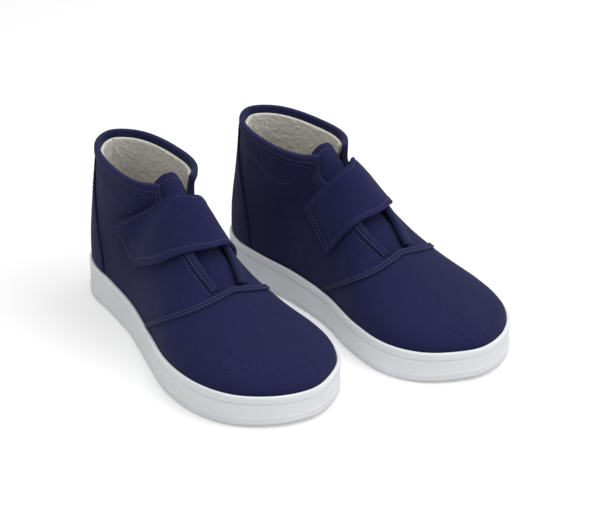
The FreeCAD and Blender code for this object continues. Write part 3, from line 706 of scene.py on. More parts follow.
def fleecy(n, bsdf, colour):
    """Short pile: matted clumps a few millimetres wide over a fine curly grain."""
    place = n.add("TexCoord").outputs["Object"]
    clumps = n.noise(place, 210.0, 3.0, 0.6)
    curls = n.noise(place, 900.0, 3.0, 0.7)
    patches = n.noise(place, 38.0, 2.0)
    tone = n.blend(n.between(clumps, 0.34, 0.62), toned(colour, 0.80), toned(colour, 1.12))
    tone = n.blend(n.between(patches, 0.30, 0.70), tone, toned(colour, 0.92))
    tone = n.blend(n.sum("MULTIPLY", n.between(curls, 0.42, 0.60), 0.45), tone,
                   toned(colour, 1.30))
    n.link(tone, bsdf.inputs["Base Color"])
    height = n.sum("ADD", clumps, n.sum("MULTIPLY", curls, 0.8))
    bump(n, bsdf, height, 1.2 * MM)
    n.link(n.between(curls, -8.0, 1.2), bsdf.inputs["Roughness"])
    bsdf.inputs["Specular IOR Level"].default_value = 0.15
    bsdf.inputs["Sheen Weight"].default_value = 0.3
    bsdf.inputs["Sheen Roughness"].default_value = 0.6


def moulded(n, bsdf, colour):
    """Matt moulded rubber: an even colour with faint flow marks and a fine spark grain."""
    place = n.add("TexCoord").outputs["Object"]
    flow = n.noise(n.scaled(place, (1.0, 1.0, 4.0)), 26.0, 4.0)
    grain = n.noise(place, 2600.0, 2.0)
    tone = n.blend(n.between(flow, 0.3, 0.7), toned(colour, 0.965), toned(colour, 1.02))
    n.link(tone, bsdf.inputs["Base Color"])
    bump(n, bsdf, n.sum("ADD", grain, n.sum("MULTIPLY", flow, 2.0)), 0.06 * MM)
    n.link(n.between(grain, -1.6, 3.0), bsdf.inputs["Roughness"])
    bsdf.inputs["Specular IOR Level"].default_value = 0.35
    bsdf.inputs["Subsurface Weight"].default_value = 0.04


def twisted(n, bsdf, colour):
    """Sewing thread: diagonal ply lines across the stitch."""
    place = n.add("TexCoord").outputs["Object"]
    ply = n.noise(place, 2400.0, 2.0)
    n.link(n.blend(ply, toned(colour, 0.7), toned(colour, 1.35)), bsdf.inputs["Base Color"])
    n.link(n.between(ply, -2.0, 1.4), bsdf.inputs["Roughness"])
    bump(n, bsdf, ply, 0.1 * MM)
    bsdf.inputs["Sheen Weight"].default_value = 0.2


def hooked(n, bsdf, colour):
    """Hook and loop tape: a close field of round dots with a lighter tip each."""
    uv = n.add("UVMap").outputs["UV"]
    cells = n.add("TexVoronoi", Scale=1100.0, Randomness=0.35)
    n.link(uv, cells.inputs["Vector"])
    dots = n.between(cells.outputs["Distance"], 0.6, 0.1)
    n.link(n.blend(dots, toned(colour, 0.6), toned(colour, 2.2)), bsdf.inputs["Base Color"])
    n.link(n.between(dots, -3.0, 2.2), bsdf.inputs["Roughness"])
    bump(n, bsdf, dots, 0.4 * MM)


def pressed(n, bsdf, colour):
    """Pressed fibre board: short fibres of two tones."""
    place = n.add("TexCoord").outputs["Object"]
    fibres = n.noise(n.scaled(place, (1.0, 0.25, 1.0)), 700.0, 4.0)
    n.link(n.blend(fibres, toned(colour, 0.7), toned(colour, 1.3)), bsdf.inputs["Base Color"])
    n.link(n.between(fibres, -4.0, 1.5), bsdf.inputs["Roughness"])
    bump(n, bsdf, fibres, 0.2 * MM)


def material(finish):
    """The material of a finish, made the first time it is asked for."""
    if finish in bpy.data.materials:
        return bpy.data.materials[finish]
    colours = bpy.context.scene.boot_colours
    made = bpy.data.materials.new(finish)
    made.use_nodes = True
    n = Nodes(made.node_tree)
    bsdf = made.node_tree.nodes["Principled BSDF"]
    makers = {
        "canvas": lambda: woven(n, bsdf, tuple(colours.canvas), 1.3 * MM, 0.40 * MM),
        "tape": lambda: woven(n, bsdf, tuple(colours.tape), 0.8 * MM, 0.14 * MM),
        "thread": lambda: twisted(n, bsdf, tuple(colours.thread)),
        "fleece": lambda: fleecy(n, bsdf, tuple(colours.fleece)),
        "rubber": lambda: moulded(n, bsdf, tuple(colours.rubber)),
        "hook": lambda: hooked(n, bsdf, tuple(colours.hook)),
        "board": lambda: pressed(n, bsdf, tuple(colours.board)),
    }
    makers[finish]()
    return made


# ---------------------------------------------------------------- soles
TREAD_DEPTH = 1.6 * MM
TREAD_PITCH = 9.0 * MM


def tread_level(shape, y):
    """Tread height: level, then rising to the toe spring with a straight and a square part."""
    length = shape.size.sole_length
    start = -0.22 * length
    share = np.clip((start - y) / (length / 2 + start), 0, 1)
    return shape.size.toe_spring * share * (0.25 + 0.75 * share)


def across_grid(edge_x, edge_y, count):
    """Points between each point of the outer edge and its partner on the inner edge."""
    half = len(edge_x) // 2
    left = np.arange(half + 1)
    right = -left % len(edge_x)
    t = np.linspace(0, 1, count)[None, :]
    x = mix(edge_x[left][:, None], edge_x[right][:, None], t)
    y = mix(edge_y[left][:, None], edge_y[right][:, None], t)
    return x, y, np.minimum(t, 1 - t) * np.abs(edge_x[left] - edge_x[right])[:, None]


def make_cupsole(shape, placing):
    """Cupsole: a wall profile carried round the outline, closed by the tread below, with wavy
    grooves across it, and by the cup's floor above."""
    station = np.linspace(0, STATIONS, 561)[:-1]
    y = shape.outline(station, 0.0)[1]
    rim, tread = shape.rim(y), tread_level(shape, y)
    wall = shape.size.sole_wall / MM
    low = ((1.4, 0.0), (0.5, 0.25), (0.1, 0.8), (0.0, 1.6), (0.0, 4.5), (-0.12, 4.8),
           (-0.3, 5.1), (-0.32, 5.5), (-0.22, 5.9), (0.0, 6.2), (0.06, 6.8), (0.1, 8.5))
    high = ((0.1, -10.0), (0.05, -7.6), (0.0, -6.9), (0.12, -6.6), (0.6, -6.4), (0.75, -6.15),
            (0.6, -5.9), (0.1, -5.7), (-0.1, -5.3), (-0.18, -4.0), (-0.15, -2.0), (0.0, -0.9),
            (0.35, -0.35), (0.9, -0.05), (1.5, 0.0), (2.2, -0.08), (2.7, -0.4), (wall, -1.0),
            (wall, -6.0))
    rows = []
    for inset, up in low:
        rows.append((inset, tread + up * MM))
    for inset, up in high:
        rows.append((inset, rim + up * MM))
    rows.append((wall, np.full_like(rim, 10.0 * MM)))
    rings = []
    for inset, z in rows:
        x, y = shape.outline(station, inset * MM)
        rings.append(np.stack((x, y, z), -1))
    wall_points = np.array(rings)
    points = [wall_points.reshape(-1, 3)]
    faces = grid_faces(len(rows), len(station), close_columns=True)
    total = len(points[0])
    for ring, is_tread in ((wall_points[0], True), (wall_points[-1], False)):
        x, y, margin = across_grid(ring[:, 0], ring[:, 1], 73 if is_tread else 9)
        z = np.full_like(x, 10.0 * MM)
        if is_tread:
            wavy = y + 2.6 * MM * np.sin(math.tau * x / (21 * MM))
            groove = soft_step((np.sin(math.tau * wavy / TREAD_PITCH) - 0.25) / 0.4)
            groove = groove * soft_step((margin - 4.5 * MM) / (1.2 * MM))
            z = tread_level(shape, y) + TREAD_DEPTH * groove
        grid = np.stack((x, y, z), -1)
        points.append(grid.reshape(-1, 3))
        faces += grid_faces(*x.shape, start=total)
        total += x.size
    piece = mesh_object(placing.name("rubber_cupsole"), placing(np.concatenate(points)), faces,
                        merge=2e-6)
    return finished(piece, "rubber", "white_rubber", placing.boot, placing.name("cupsole"))


def make_footbed(shape, placing):
    """Loose footbed: a soft slab inside the lining, its top edge rounded over and its pile
    uneven."""
    inset = shape.inset + shape.lining_end + shape.size.fit

    def carry(u, v):
        station = TOE * u[:, 0]
        outer_x, outer_y = shape.outline(station, inset)
        inner_x, inner_y = shape.outline(STATIONS - station, inset)
        x = mix(outer_x[:, None], inner_x[:, None], v)
        y = mix(outer_y[:, None], inner_y[:, None], v)
        points = np.stack((x, y, np.full_like(x, shape.lining_level + 4.0 * MM)), -1)
        return points, np.broadcast_to((0.0, 0.0, -1.0), points.shape)

    def pile(u, v, flat, front):
        return pile_height(flat, 0.35 * MM) if front else 0.0

    piece = panel(placing, "fleece_footbed", carry, (190, 90), (0.02, 0.02, 0.05, 0.05),
                  0.0, 4.0 * MM, relief=pile)
    return finished(piece, "fleece", "insole_fabric", placing.boot, placing.name("sockliner"))


def pile_height(points, height):
    """Matted pile: clumps 4 mm wide and curls 1.5 mm wide, added up about zero."""
    clumps = 0.5 * cloud(points, 4.2 * MM, 3) + cloud(points, 1.5 * MM, 8)
    return (clumps - 0.75) * height


# ---------------------------------------------------------------- canvas
BACK_GAP = 0.012


def vamp_domain(short, foot):
    """Forefoot panel from seam to seam over the toe, folded along the ridge."""
    def domain(u, v):
        base = foot(np.full(1, float(TOE)))[0]
        rise = mix(base, 1.0, v)
        return TOE + (2 * u - 1) * (seam_station(rise) - short), rise
    return domain


def quarter_domain(shape, side, drop, foot):
    """Quarter from the vamp seam to the back, its top edge lowered by drop."""
    start = float(seam_station(0.91)) + SEAM_GAP

    def domain(u, v):
        from_toe = mix(start, TOE - BACK_GAP, u[:, 0])
        top = shape.facing_rise(from_toe, side)
        top = (top - drop(from_toe, side, top))[:, None]
        base = foot(TOE + side * from_toe)[:, None]
        rise = mix(base, top, v)
        front = seam_station(rise) + SEAM_GAP
        return TOE + side * mix(front, TOE - BACK_GAP, u), rise
    return domain


def soft_dents(points):
    """Slow waves of the cloth, under half a millimetre."""
    return (cloud(points, 28 * MM, 11) - 0.5) * 0.7 * MM + (cloud(points, 11 * MM, 5) - 0.5) * 0.25 * MM


def canvas_relief(u, v, flat, front):
    return soft_dents(flat) if front else 0.0


def make_canvas(shape, placing):
    """Vamp, both quarters and the heel panel."""
    size = shape.size
    boot = placing.boot

    def sunk(station):
        return np.full(np.shape(station), -BELOW_RIM)

    piece = panel(placing, "canvas_vamp", on_boot(shape, vamp_domain(SEAM_GAP, sunk)),
                  (230, 100), (0.004, 0.004, 0.01, 0.0), 0.0, size.canvas, canvas_relief)
    finished(piece, "canvas", "navy_canvas", boot, placing.name("vamp"))

    def under_tape(from_toe, side, top):
        return 4 * size.fit / shape.rib_length(TOE + side * from_toe, top)

    for name, side in (("lateral", -1), ("medial", 1)):
        domain = quarter_domain(shape, side, under_tape, sunk)
        piece = panel(placing, "canvas_%s_quarter" % name, on_boot(shape, domain),
                      (190, 120), (0.004, 0.004, 0.01, 0.01), 0.0, size.canvas, canvas_relief)
        finished(piece, "canvas", "navy_canvas", boot, placing.name(name + "_quarter"))

    piece = panel(placing, "canvas_heel_panel", on_boot(shape, heel_domain(shape)),
                  (90, 120), (0.012, 0.012, 0.006, 0.006), -size.fit - size.canvas, 0.0,
                  edge_fold(28 * MM, 100 * MM, 5.0 * MM))
    finished(piece, "canvas", "navy_canvas", boot, placing.name("back_stay"))


def heel_domain(shape):
    """Heel panel: wide at the sole, a narrow strip at the collar."""
    drop = float((shape.size.tape_width + 2 * shape.size.fit)
                 / shape.rib_length(np.array(0.0), np.array(1.0)))

    def domain(u, v):
        rise = mix(RIM_CLEAR, 1.0 - drop, v)
        return (2 * u - 1) * mix(2.6, 0.75, soft_step(rise)), rise
    return domain


def edge_fold(width, length, fold, u_ends=True, v_ends=False, height=0.16 * MM):
    """Relief of a turned edge: the front stands a little higher within the fold's width, and
    a shallow trench marks its stitches."""
    def relief(u, v, flat, front):
        if not front:
            return 0.0
        distance = np.full(u.shape, 1.0)
        if u_ends:
            distance = np.minimum(distance, np.minimum(u, 1 - u) * width)
        if v_ends:
            distance = np.minimum(distance, np.minimum(v, 1 - v) * length)
        raised = 1 - soft_step((distance - fold) / (0.8 * MM))
        trench = np.exp(-((distance - 0.75 * fold) / (0.7 * MM)) ** 2)
        return height * raised - 0.18 * MM * trench + soft_dents(flat) * 0.5
    return relief


# ---------------------------------------------------------------- linings
def make_linings(shape, placing):
    """Fleece linings of the forefoot and both quarters, their pile towards the foot."""
    size = shape.size

    def floor(station):
        return shape.rise_at_level(station, shape.lining_level)

    def pile(u, v, flat, front):
        return 0.0 if front else pile_height(flat, 0.9 * MM)

    def under_tape(from_toe, side, top):
        station = TOE + side * from_toe
        below_tape = (size.tape_width - 1.5 * MM) / shape.rib_length(station, top)
        beside = size.tongue_width / 2 + 2 * shape.lining_end
        beside_tongue = top - shape.rise_at_width(station, beside)
        return np.maximum(below_tape, beside_tongue * soft_step((6.9 - from_toe) / 0.5))

    near, far = shape.lining_depth, shape.lining_end
    piece = panel(placing, "fleece_vamp_lining", on_boot(shape, vamp_domain(0.4, floor)),
                  (150, 60), (0.01, 0.01, 0.02, 0.0), near, far, pile)
    finished(piece, "fleece", "fleece", placing.boot, placing.name("vamp_lining"))
    for name, side in (("lateral", -1), ("medial", 1)):
        domain = quarter_domain(shape, side, under_tape, floor)
        piece = panel(placing, "fleece_%s_lining" % name, on_boot(shape, domain),
                      (210, 150), (0.008, 0.001, 0.01, 0.012), near, far, pile)
        finished(piece, "fleece", "fleece", placing.boot, placing.name(name + "_lining"))


# ---------------------------------------------------------------- tapes
def make_seam_tape(shape, placing):
    """Folded tape over the vamp seam, from the outer side over the ridge to the inner side."""
    size = shape.size

    def domain(u, v):
        across = 2 * u - 1
        rise = mix(1.0, RIM_CLEAR, np.abs(across))
        side = np.where(across > 0, 1, -1)
        from_toe = seam_station(rise)
        station = TOE + side * from_toe
        step = shape.base(station + 0.01, rise) - shape.base(station - 0.01, rise)
        half = size.tape_width / 2 / np.maximum(np.linalg.norm(step, axis=-1) / 0.02, MM)
        return TOE + side * (from_toe + mix(-half, half, v)), rise

    def crown(u, v, flat, front):
        if not front:
            return 0.0
        trench = np.exp(-((np.minimum(v, 1 - v) - 0.22) / 0.07) ** 2)
        return 0.10 * MM - 0.20 * MM * trench + soft_dents(flat) * 0.3

    piece = panel(placing, "seam_tape", on_boot(shape, domain), (200, 16),
                  (0.003, 0.003, 0.12, 0.12), -size.fit - size.tape, 0.0, crown)
    finished(piece, "tape", "navy_tape", placing.boot, placing.name("vamp_seam_tape"))
    rows = []
    u = np.linspace(0.01, 0.99, 200)
    for v in (0.22, 0.78):
        station, rise = domain(u, np.full_like(u, v))
        inward = shape.inward(station, rise)
        rows.append((shape.surface(station, rise, np.full_like(u, -size.fit - size.tape)), -inward))
    stitches(placing, "seam_tape_stitches", rows, placing.boot)


def topline(shape, count):
    """Path of the facings' and collar's edge: station, rise, and the way up beyond it."""
    first = float(seam_station(0.91)) + SEAM_GAP + 0.18
    place = np.linspace(-1, 1, count)
    side = np.where(place > 0, 1, -1)
    from_toe = mix(TOE, first, np.abs(place))
    rise = shape.facing_rise(from_toe, side)
    station = TOE + side * from_toe
    above = np.minimum(rise + STEP, 1.0)
    up = unit(shape.base(station, above) - shape.base(station, above - STEP))
    return station, rise, up


def make_topline_binding(shape, placing):
    """Folded tape over the topline: a rounded channel section carried along the edge. Below
    the fold a section point lies on the boot at its own depth; above it, beyond the edge."""
    size = shape.size
    station, rise, up = topline(shape, 520)
    rib = shape.rib_length(station, rise)
    inward = shape.inward(station, rise)
    edge = shape.base(station, rise)
    outer, inner = -size.fit - size.tape, shape.inner_leg + size.tape
    width = size.tape_width
    centre, reach = (outer + inner) / 2, (inner - outer) / 2
    over = size.tape + size.fit
    angles = np.linspace(math.pi, 0, 11)[1:-1]
    section = [(d, outer + bulge * MM) for d, bulge in
               ((width, 0.35), (width - 0.1 * MM, 0.1), (width - 0.5 * MM, 0.0),
                (width - 1.1 * MM, 0.12), (width - 1.7 * MM, 0.22), (width - 2.4 * MM, 0.05),
                (0.55 * width, -0.12), (0.3 * width, -0.16), (0.0, -0.10))]
    section += [(-over * math.sin(a) ** 0.8, centre + (reach + 0.1 * MM) * math.cos(a))
                for a in angles]
    section += [(0.0, inner), (0.4 * width, inner), (width - 0.6 * MM, inner),
                (width - 0.1 * MM, inner - 0.2 * MM), (width, inner - 0.5 * MM),
                (width - 0.1 * MM, inner - size.tape), (0.0, shape.inner_leg),
                (-size.fit, shape.inner_leg), (-size.fit, 0.0), (0.0, -size.fit),
                (width - 0.1 * MM, -size.fit)]
    lengths = np.concatenate(((0,), np.cumsum(np.linalg.norm(np.diff(edge, axis=0), axis=1))))
    uneven = cloud(edge, 9 * MM, 2) - 0.5
    rings = []
    for down, depth in section:
        below = np.maximum(down, 0) * (1 + 0.10 * uneven)
        outwards = -0.10 * MM * (cloud(edge + down, 5 * MM, 4) - 0.5) * (depth < 0)
        point = shape.surface(station, rise - below / rib, depth + outwards)
        if down < 0:
            point = edge + up * -down + inward * depth
        rings.append(point)
    grid = np.array(rings)
    uv = np.stack(np.broadcast_arrays(lengths[None, :], np.arange(len(section))[:, None] * MM), -1)
    faces = grid_faces(len(section), len(station), close_rows=True)
    for column in (0, len(station) - 1):
        faces.append([row * len(station) + column for row in range(len(section))])
    piece = mesh_object(placing.name("topline_binding_tape"), placing(grid.reshape(-1, 3)), faces,
                        uv.reshape(-1, 2))
    finished(piece, "tape", "navy_tape", placing.boot, placing.name("topline_binding"))
    rows = []
    for down, depth in ((width - 1.5 * MM, outer + 0.1 * MM), (width + 2.3 * MM, -0.1 * MM)):
        path = shape.surface(station, rise - down / rib, np.full_like(rise, depth))
        rows.append((path, -shape.inward(station, rise - down / rib)))
    stitches(placing, "topline_stitches", rows, placing.boot)


# ---------------------------------------------------------------- tongue
def tongue_carry(shape, near_base, near_top, trim):
    """The tongue follows the throat under the facings, then stands straight on along the
    ridge's slope; its sides turn in with the fourth power of the distance from the middle."""
    size = shape.size
    slope = smooth_rows(shape.crown_loop, np.array(float(TOE + TONGUE_TURN)))[3]
    onward = unit(np.array((0.0, 1.0, slope)))
    inward = np.array((0.0, onward[2], -onward[1]))

    def carry(u, v):
        share = u[:, :1]
        follow = np.minimum(share / 0.75, 1.0)
        past = np.maximum(share - 0.75, 0.0) / 0.25 * (
            size.tongue_extension + TONGUE_RISE - trim)
        from_toe = mix(TONGUE_BASE, TONGUE_TURN, follow)
        spread = mix(TONGUE_BASE_SHARE, 1.0, soft_step(share / 0.4))
        spread = spread * mix(1.0, TONGUE_TOP_SHARE, soft_step((share - 0.45) / 0.3))
        half = (size.tongue_width / 2 - trim) * spread
        near = mix(near_base, near_top, soft_step(share / 0.08))
        near = near + TONGUE_TUCK * soft_step((share - 0.25) / 0.5)
        across = 2 * v - 1
        from_toe = np.broadcast_to(from_toe, across.shape)
        station = TOE + np.where(across > 0, 1, -1) * from_toe
        on_ridge = shape.base(station, shape.rise_at_width(station, np.abs(across) * half))
        sunk = near + TONGUE_CURL * across ** 4
        rounding = 1.0 - np.sqrt(1.0 - 0.96 * across ** 2)
        pull = TONGUE_CORNER * rounding * soft_step((share - 0.6) / 0.4)
        points = on_ridge + onward * (past - pull)[..., None] + inward * sunk[..., None]
        return points, np.broadcast_to(inward, points.shape)
    return carry


def make_tongue(shape, placing):
    """Canvas tongue with a turned, stitched edge and its fleece backing."""
    size = shape.size
    base = size.canvas + 2 * size.fit
    top = shape.inner_leg + size.tape + 7 * size.fit
    step = size.canvas + size.fit
    carry = tongue_carry(shape, base, top, 0.0)

    def turned_edge(u, v, flat, front):
        if not front:
            return 0.0
        distance = np.minimum(np.minimum(v, 1 - v) * 36 * MM, (1 - u) * 100 * MM)
        trench = np.exp(-((distance - 4.0 * MM) / (0.8 * MM)) ** 2)
        return 0.12 * MM - 0.22 * MM * trench + soft_dents(flat)

    piece = panel(placing, "canvas_tongue", carry, (150, 70), (0.01, 0.008, 0.02, 0.02),
                  0.0, size.canvas, turned_edge)
    finished(piece, "canvas", "navy_canvas", placing.tongue, placing.name("tongue"))

    def pile(u, v, flat, front):
        return 0.0 if front else pile_height(flat, 0.8 * MM)

    backing = tongue_carry(shape, base + step, top + step, 2.0 * MM)
    piece = panel(placing, "fleece_tongue_backing", backing, (120, 60), (0.02, 0.02, 0.03, 0.03),
                  0.0, size.lining, pile)
    finished(piece, "fleece", "fleece", placing.tongue, placing.name("tongue_lining"))
    t = np.linspace(0, 1, 300)
    u = np.concatenate((mix(0.3, 0.96, t), np.full(120, 0.96), mix(0.96, 0.3, t)))
    v = np.concatenate((np.full(300, 0.11), np.linspace(0.11, 0.89, 120), np.full(300, 0.89)))
    grid_points, inward = carry(u[:, None], v[:, None])
    path = grid_points[:, 0]
    stitches(placing, "tongue_stitches", [(path[2:-2], -inward[:, 0][2:-2])], placing.tongue)


# ---------------------------------------------------------------- strap
STRAP_WIDTH = 42 * MM
STRAP_LENGTH = 168 * MM
STRAP_FOLD = 4.4 * MM


def strap_carry(shape, start, end):
    """Stretch of the strap; its free end has quarter-round corners."""
    def carry(u, v):
        e = np.clip((np.abs(2 * v - 1) - 0.5) / 0.5, 0, 1)
        corner = END_ROUNDING * 1.6 * (1 - np.sqrt(np.maximum(1 - e * e, 0)))
        last = end - corner if end == 1.0 else end
        station, rise = shape.strap_point(mix(start, last, u), v)
        return shape.base(station, rise), shape.inward(station, rise)
    return carry


def strap_relief(start, end):
    """Binding folded round the strap's long edges and free end, with a trench inside it."""
    def relief(u, v, flat, front):
        if not front:
            return 0.0
        distance = np.minimum(v, 1 - v) * STRAP_WIDTH
        if end == 1.0:
            distance = np.minimum(distance, (1 - u) * (end - start) * STRAP_LENGTH)
        raised = 1 - soft_step((distance - STRAP_FOLD) / (0.7 * MM))
        trench = np.exp(-((distance - STRAP_FOLD - 0.5 * MM) / (0.6 * MM)) ** 2)
        return 0.22 * MM * raised - 0.25 * MM * trench + soft_dents(flat)
    return relief


def strap_shade(start, end):
    def shade(u, v, flat):
        distance = np.minimum(v, 1 - v) * STRAP_WIDTH
        if end == 1.0:
            distance = np.minimum(distance, (1 - u) * (end - start) * STRAP_LENGTH)
        return 0.35 * (1 - soft_step((distance - STRAP_FOLD) / (0.6 * MM)))
    return shade


def make_strap(shape, placing):
    """Strap: its sewn end on the inner quarter and the flap that crosses to the outer one."""
    size = shape.size
    slit = SEWN_END + STRAP_SLIT
    for name, node, start, end, body, counts in (
            ("strap_sewn_end", "strap_sewn_end", 0.0, SEWN_END, placing.boot, (26, 60)),
            ("strap_flap", "strap_flap", slit, 1.0, placing.strap, (220, 70))):
        def outer(u, v, start=start, end=end):
            return shape.strap_inner(mix(start, end, u)) - size.strap

        def inner(u, v, start=start, end=end):
            return shape.strap_inner(mix(start, end, u))

        edges = (0.008, 0.008, 0.02, 0.02) if end == 1.0 else (0.06, 0.02, 0.02, 0.02)
        piece = panel(placing, "canvas_" + name, strap_carry(shape, start, end), counts, edges,
                      outer, inner, strap_relief(start, end), strap_shade(start, end))
        finished(piece, "canvas", "navy_canvas", body, placing.name(node))
    flap = 1 - (STRAP_FOLD - 0.9 * MM) / STRAP_LENGTH
    near_edge = (STRAP_FOLD - 0.9 * MM) / STRAP_WIDTH
    corner = np.linspace(0, math.pi / 2, 40)
    round_u, round_v = 10.0 * MM / STRAP_LENGTH, 8.0 * MM / STRAP_WIDTH
    u = np.concatenate((np.linspace(slit + 0.01, flap - round_u, 260),
                        flap - round_u + round_u * np.sin(corner)))
    v = np.concatenate((np.full(260, near_edge), near_edge + round_v * (1 - np.cos(corner))))
    u, v = np.concatenate((u, u[::-1])), np.concatenate((v, 1 - v[::-1]))
    stitches(placing, "strap_stitches", [strap_row(shape, u, v)], placing.strap)
    v = np.linspace(0.06, 0.94, 120)
    u = np.linspace(0.006, SEWN_END - 0.006, 60)
    rows = [strap_row(shape, np.full_like(v, place), v) for place in (0.012, SEWN_END - 0.014)]
    rows += [strap_row(shape, u, np.full_like(u, place)) for place in (0.07, 0.93)]
    stitches(placing, "strap_box_stitches", rows, placing.boot)


def strap_row(shape, u, v):
    station, rise = shape.strap_point(u, v)
    inward = shape.inward(station, rise)
    depth = shape.strap_inner(u) - shape.size.strap - 0.1 * MM
    return shape.base(station, rise) + inward * depth[:, None], -inward


def make_hook_and_loop(shape, placing):
    """Loop tape on the outer quarter and hook tape under the strap's free end."""
    size = shape.size

    def carry(u, v):
        station, rise = shape.strap_point(mix(*HOOK_SPAN, u), mix(*HOOK_BAND, v))
        return shape.base(station, rise), shape.inward(station, rise)

    top = -size.fit - size.hook
    for name, node, depth, body, slot in (
            ("loop_tape", "loop_patch", -size.fit, placing.boot, "loop_tape"),
            ("hook_tape", "hook_patch", top - size.fit, placing.strap, "hook_tape")):
        piece = panel(placing, name, carry, (40, 40), (0.02, 0.02, 0.02, 0.02),
                      depth - size.hook, depth)
        finished(piece, "hook", slot, body, placing.name(node))


# ---------------------------------------------------------------- quarter stitching
def make_quarter_stitches(shape, placing):
    """Rows that hold the heel panel and the collar reinforcement."""
    heel = heel_domain(shape)
    v = np.linspace(0.01, 0.99, 200)
    rows = []
    for u in (0.09, 0.91):
        station, rise = heel(np.full_like(v, u), v)
        inward = shape.inward(station, rise)
        depth = -shape.size.fit - shape.size.canvas - 0.05 * MM
        rows.append((shape.base(station, rise) + inward * depth, -inward))
    for side in (-1, 1):
        from_toe = np.linspace(6.9, 9.15, 160)
        rise = mix(0.70, 0.80, soft_step((from_toe - 6.9) / 1.6))
        station = TOE + side * from_toe
        inward = shape.inward(station, rise)
        rows.append((shape.base(station, rise) - inward * 0.15 * MM, -inward))
    stitches(placing, "quarter_stitches", rows, placing.boot)


# ---------------------------------------------------------------- operators
class BootOperator:
    """Makes its pieces for the right boot and, mirrored, for the left one."""

    bl_options = {"REGISTER", "UNDO"}
    makers = ()

    def execute(self, context):
        shape = BootShape(context.scene.boot_sizes)
        for side_name, mirror in SIDES:
            placing = Placing(shape, side_name, mirror)
            for maker in self.makers:
                maker(shape, placing)
        return {"FINISHED"}


class BOOTS_OT_cupsoles(BootOperator, bpy.types.Operator):
    """Add the rubber cupsoles"""

    bl_idname = "boots.cupsoles"
    bl_label = "Cupsoles"
    makers = (make_cupsole,)


class BOOTS_OT_footbeds(BootOperator, bpy.types.Operator):
    """Add the loose fleece footbeds"""

    bl_idname = "boots.footbeds"
    bl_label = "Footbeds"
    makers = (make_footbed,)


class BOOTS_OT_canvas(BootOperator, bpy.types.Operator):
    """Add the canvas vamps, quarters and heel panels"""

    bl_idname = "boots.canvas"
    bl_label = "Canvas Panels"
    makers = (make_canvas, make_quarter_stitches)


class BOOTS_OT_linings(BootOperator, bpy.types.Operator):
    """Add the fleece linings"""

    bl_idname = "boots.linings"
    bl_label = "Fleece Linings"
    makers = (make_linings,)


class BOOTS_OT_tapes(BootOperator, bpy.types.Operator):
    """Add the tapes over the vamp seams and round the toplines"""

    bl_idname = "boots.tapes"
    bl_label = "Tapes"
    makers = (make_seam_tape, make_topline_binding)


class BOOTS_OT_tongues(BootOperator, bpy.types.Operator):
    """Add the tongues with their fleece backing"""

    bl_idname = "boots.tongues"
    bl_label = "Tongues"
    makers = (make_tongue,)


class BOOTS_OT_straps(BootOperator, bpy.types.Operator):
    """Add the instep straps with their hook and loop tapes"""

    bl_idname = "boots.straps"
    bl_label = "Straps"
    makers = (make_strap, make_hook_and_loop)


class BOOTS_OT_inner_parts(bpy.types.Operator):
    """Finish the hidden soles, boards and stiffeners"""

    bl_idname = "boots.inner_parts"
    bl_label = "Inner Parts"
    bl_options = {"REGISTER", "UNDO"}

    def execute(self, context):
        for side_name, mirror in SIDES:
            for node in ("sole_filler", "insole_board", "toe_puff", "heel_counter"):
                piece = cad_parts[node + "_" + side_name]
                finish = "rubber" if node == "sole_filler" else "board"
                for slot in piece.material_slots:
                    slot.material = material(finish)
        return {"FINISHED"}


WORLD_LIGHT = 0.42       # strength on the boots; the camera sees 1
# name, place, target, width in metres, watts
SOFTBOXES = (
    ("overhead_softbox", (0.25, -0.15, 1.5), (0.0, 0.0, 0.0), 1.5, 17.0),
    ("front_softbox", (0.9, -1.6, 1.1), (0.0, -0.05, 0.05), 1.2, 9.0),
    ("side_softbox", (-1.5, -0.5, 0.9), (0.0, 0.0, 0.05), 1.0, 3.5))
CAMERA_PLACE = (-1.073, -1.315, 0.943)
CAMERA_TARGET = (0.130, 0.110, 0.0)
CAMERA_LENS = 148.9
CAMERA_SHIFT = (-0.033, -0.042)
CAMERA_ROLL = math.radians(0.82)


class BOOTS_OT_stage(bpy.types.Operator):
    """Add the floor, the studio lights and the camera"""

    bl_idname = "boots.stage"
    bl_label = "Stage"
    bl_options = {"REGISTER", "UNDO"}

    def execute(self, context):
        scene = context.scene
        floor = mesh_object("studio_floor", np.array([(x, y, 0.0) for x, y in
                            ((-8, -8), (8, -8), (8, 8), (-8, 8))]), [[0, 1, 2, 3]], merge=0)
        floor.data.materials.append(white_floor())
        world = bpy.data.worlds.new("studio")
        scene.world = world
        world.use_nodes = True
        back = world.node_tree.nodes["Background"]
        n = Nodes(world.node_tree)
        rays = n.add("LightPath")
        seen = n.sum("MAXIMUM", rays.outputs["Is Camera Ray"], rays.outputs["Is Glossy Ray"])
        n.link(n.sum("ADD", n.sum("MULTIPLY", seen, 1 - WORLD_LIGHT), WORLD_LIGHT), back.inputs["Strength"])
        back.inputs["Color"].default_value = (1, 1, 1, 1)
        for lamp in SOFTBOXES:
            add_lamp(*lamp)
        camera = bpy.data.objects.new("camera", bpy.data.cameras.new("camera"))
        scene.collection.objects.link(camera)
        camera.data.lens = CAMERA_LENS
        camera.data.sensor_width = 36.0
        camera.data.shift_x, camera.data.shift_y = CAMERA_SHIFT
        aim(camera, CAMERA_PLACE, CAMERA_TARGET)
        camera.rotation_euler.rotate_axis("Z", CAMERA_ROLL)
        scene.camera = camera
        scene.view_settings.view_transform = "Standard"
        return {"FINISHED"}


def aim(piece, place, target):
    piece.location = place
    piece.rotation_euler = (Vector(target) - Vector(place)).to_track_quat("-Z", "Y").to_euler()


def add_lamp(name, place, target, size, power):
    data = bpy.data.lights.new(name, "AREA")
    data.size = size
    data.energy = power
    lamp = bpy.data.objects.new(name, data)
    bpy.context.scene.collection.objects.link(lamp)
    aim(lamp, place, target)


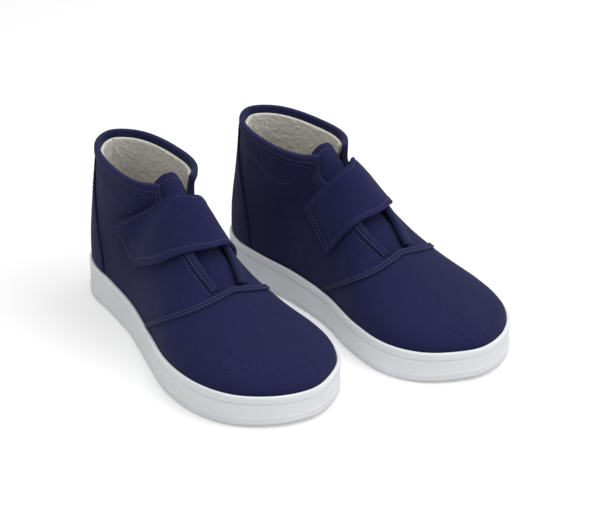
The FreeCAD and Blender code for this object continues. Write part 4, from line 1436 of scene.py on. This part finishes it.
def white_floor():
    """Matt white floor that the camera sees a little brighter, so that it meets the white
    background and keeps its shadows."""
    made = bpy.data.materials.new("floor_white")
    made.use_nodes = True
    n = Nodes(made.node_tree)
    bsdf = made.node_tree.nodes["Principled BSDF"]
    place = n.add("TexCoord").outputs["Object"]
    tone = n.blend(n.noise(place, 3.0), (0.80, 0.80, 0.80), (0.82, 0.82, 0.82))
    n.link(tone, bsdf.inputs["Base Color"])
    bsdf.inputs["Roughness"].default_value = 0.9
    bsdf.inputs["Specular IOR Level"].default_value = 0.0
    bsdf.inputs["Emission Color"].default_value = (1, 1, 1, 1)
    rays = n.add("LightPath")
    n.link(n.sum("MULTIPLY", rays.outputs["Is Camera Ray"], 0.25), bsdf.inputs["Emission Strength"])
    return made


class BOOTS_PT_panel(bpy.types.Panel):
    """Sizes, colours and pieces of the boots"""

    bl_idname = "BOOTS_PT_panel"
    bl_label = "Canvas Boots"
    bl_space_type = "VIEW_3D"
    bl_region_type = "UI"
    bl_category = "Boots"

    def draw(self, context):
        layout = self.layout
        for group in (context.scene.boot_sizes, context.scene.boot_colours):
            column = layout.column(align=True)
            for name in group.__annotations__:
                column.prop(group, name)
        for operator in OPERATORS:
            layout.operator(operator.bl_idname)


OPERATORS = (BOOTS_OT_stage, BOOTS_OT_cupsoles, BOOTS_OT_footbeds, BOOTS_OT_canvas,
             BOOTS_OT_linings, BOOTS_OT_tapes, BOOTS_OT_tongues, BOOTS_OT_straps,
             BOOTS_OT_inner_parts)
CLASSES = (BootSizes, BootColours) + OPERATORS + (BOOTS_PT_panel,)


def register():
    for item in CLASSES:
        bpy.utils.register_class(item)
    bpy.types.Scene.boot_sizes = bpy.props.PointerProperty(type=BootSizes)
    bpy.types.Scene.boot_colours = bpy.props.PointerProperty(type=BootColours)


def unregister():
    del bpy.types.Scene.boot_colours
    del bpy.types.Scene.boot_sizes
    for item in reversed(CLASSES):
        bpy.utils.unregister_class(item)


def main():
    register()
    bpy.ops.boots.stage()
    bpy.ops.boots.cupsoles()
    bpy.ops.boots.footbeds()
    bpy.ops.boots.canvas()
    bpy.ops.boots.linings()
    bpy.ops.boots.tapes()
    bpy.ops.boots.tongues()
    bpy.ops.boots.straps()
    bpy.ops.boots.inner_parts()


if __name__ == "__main__":
    main()
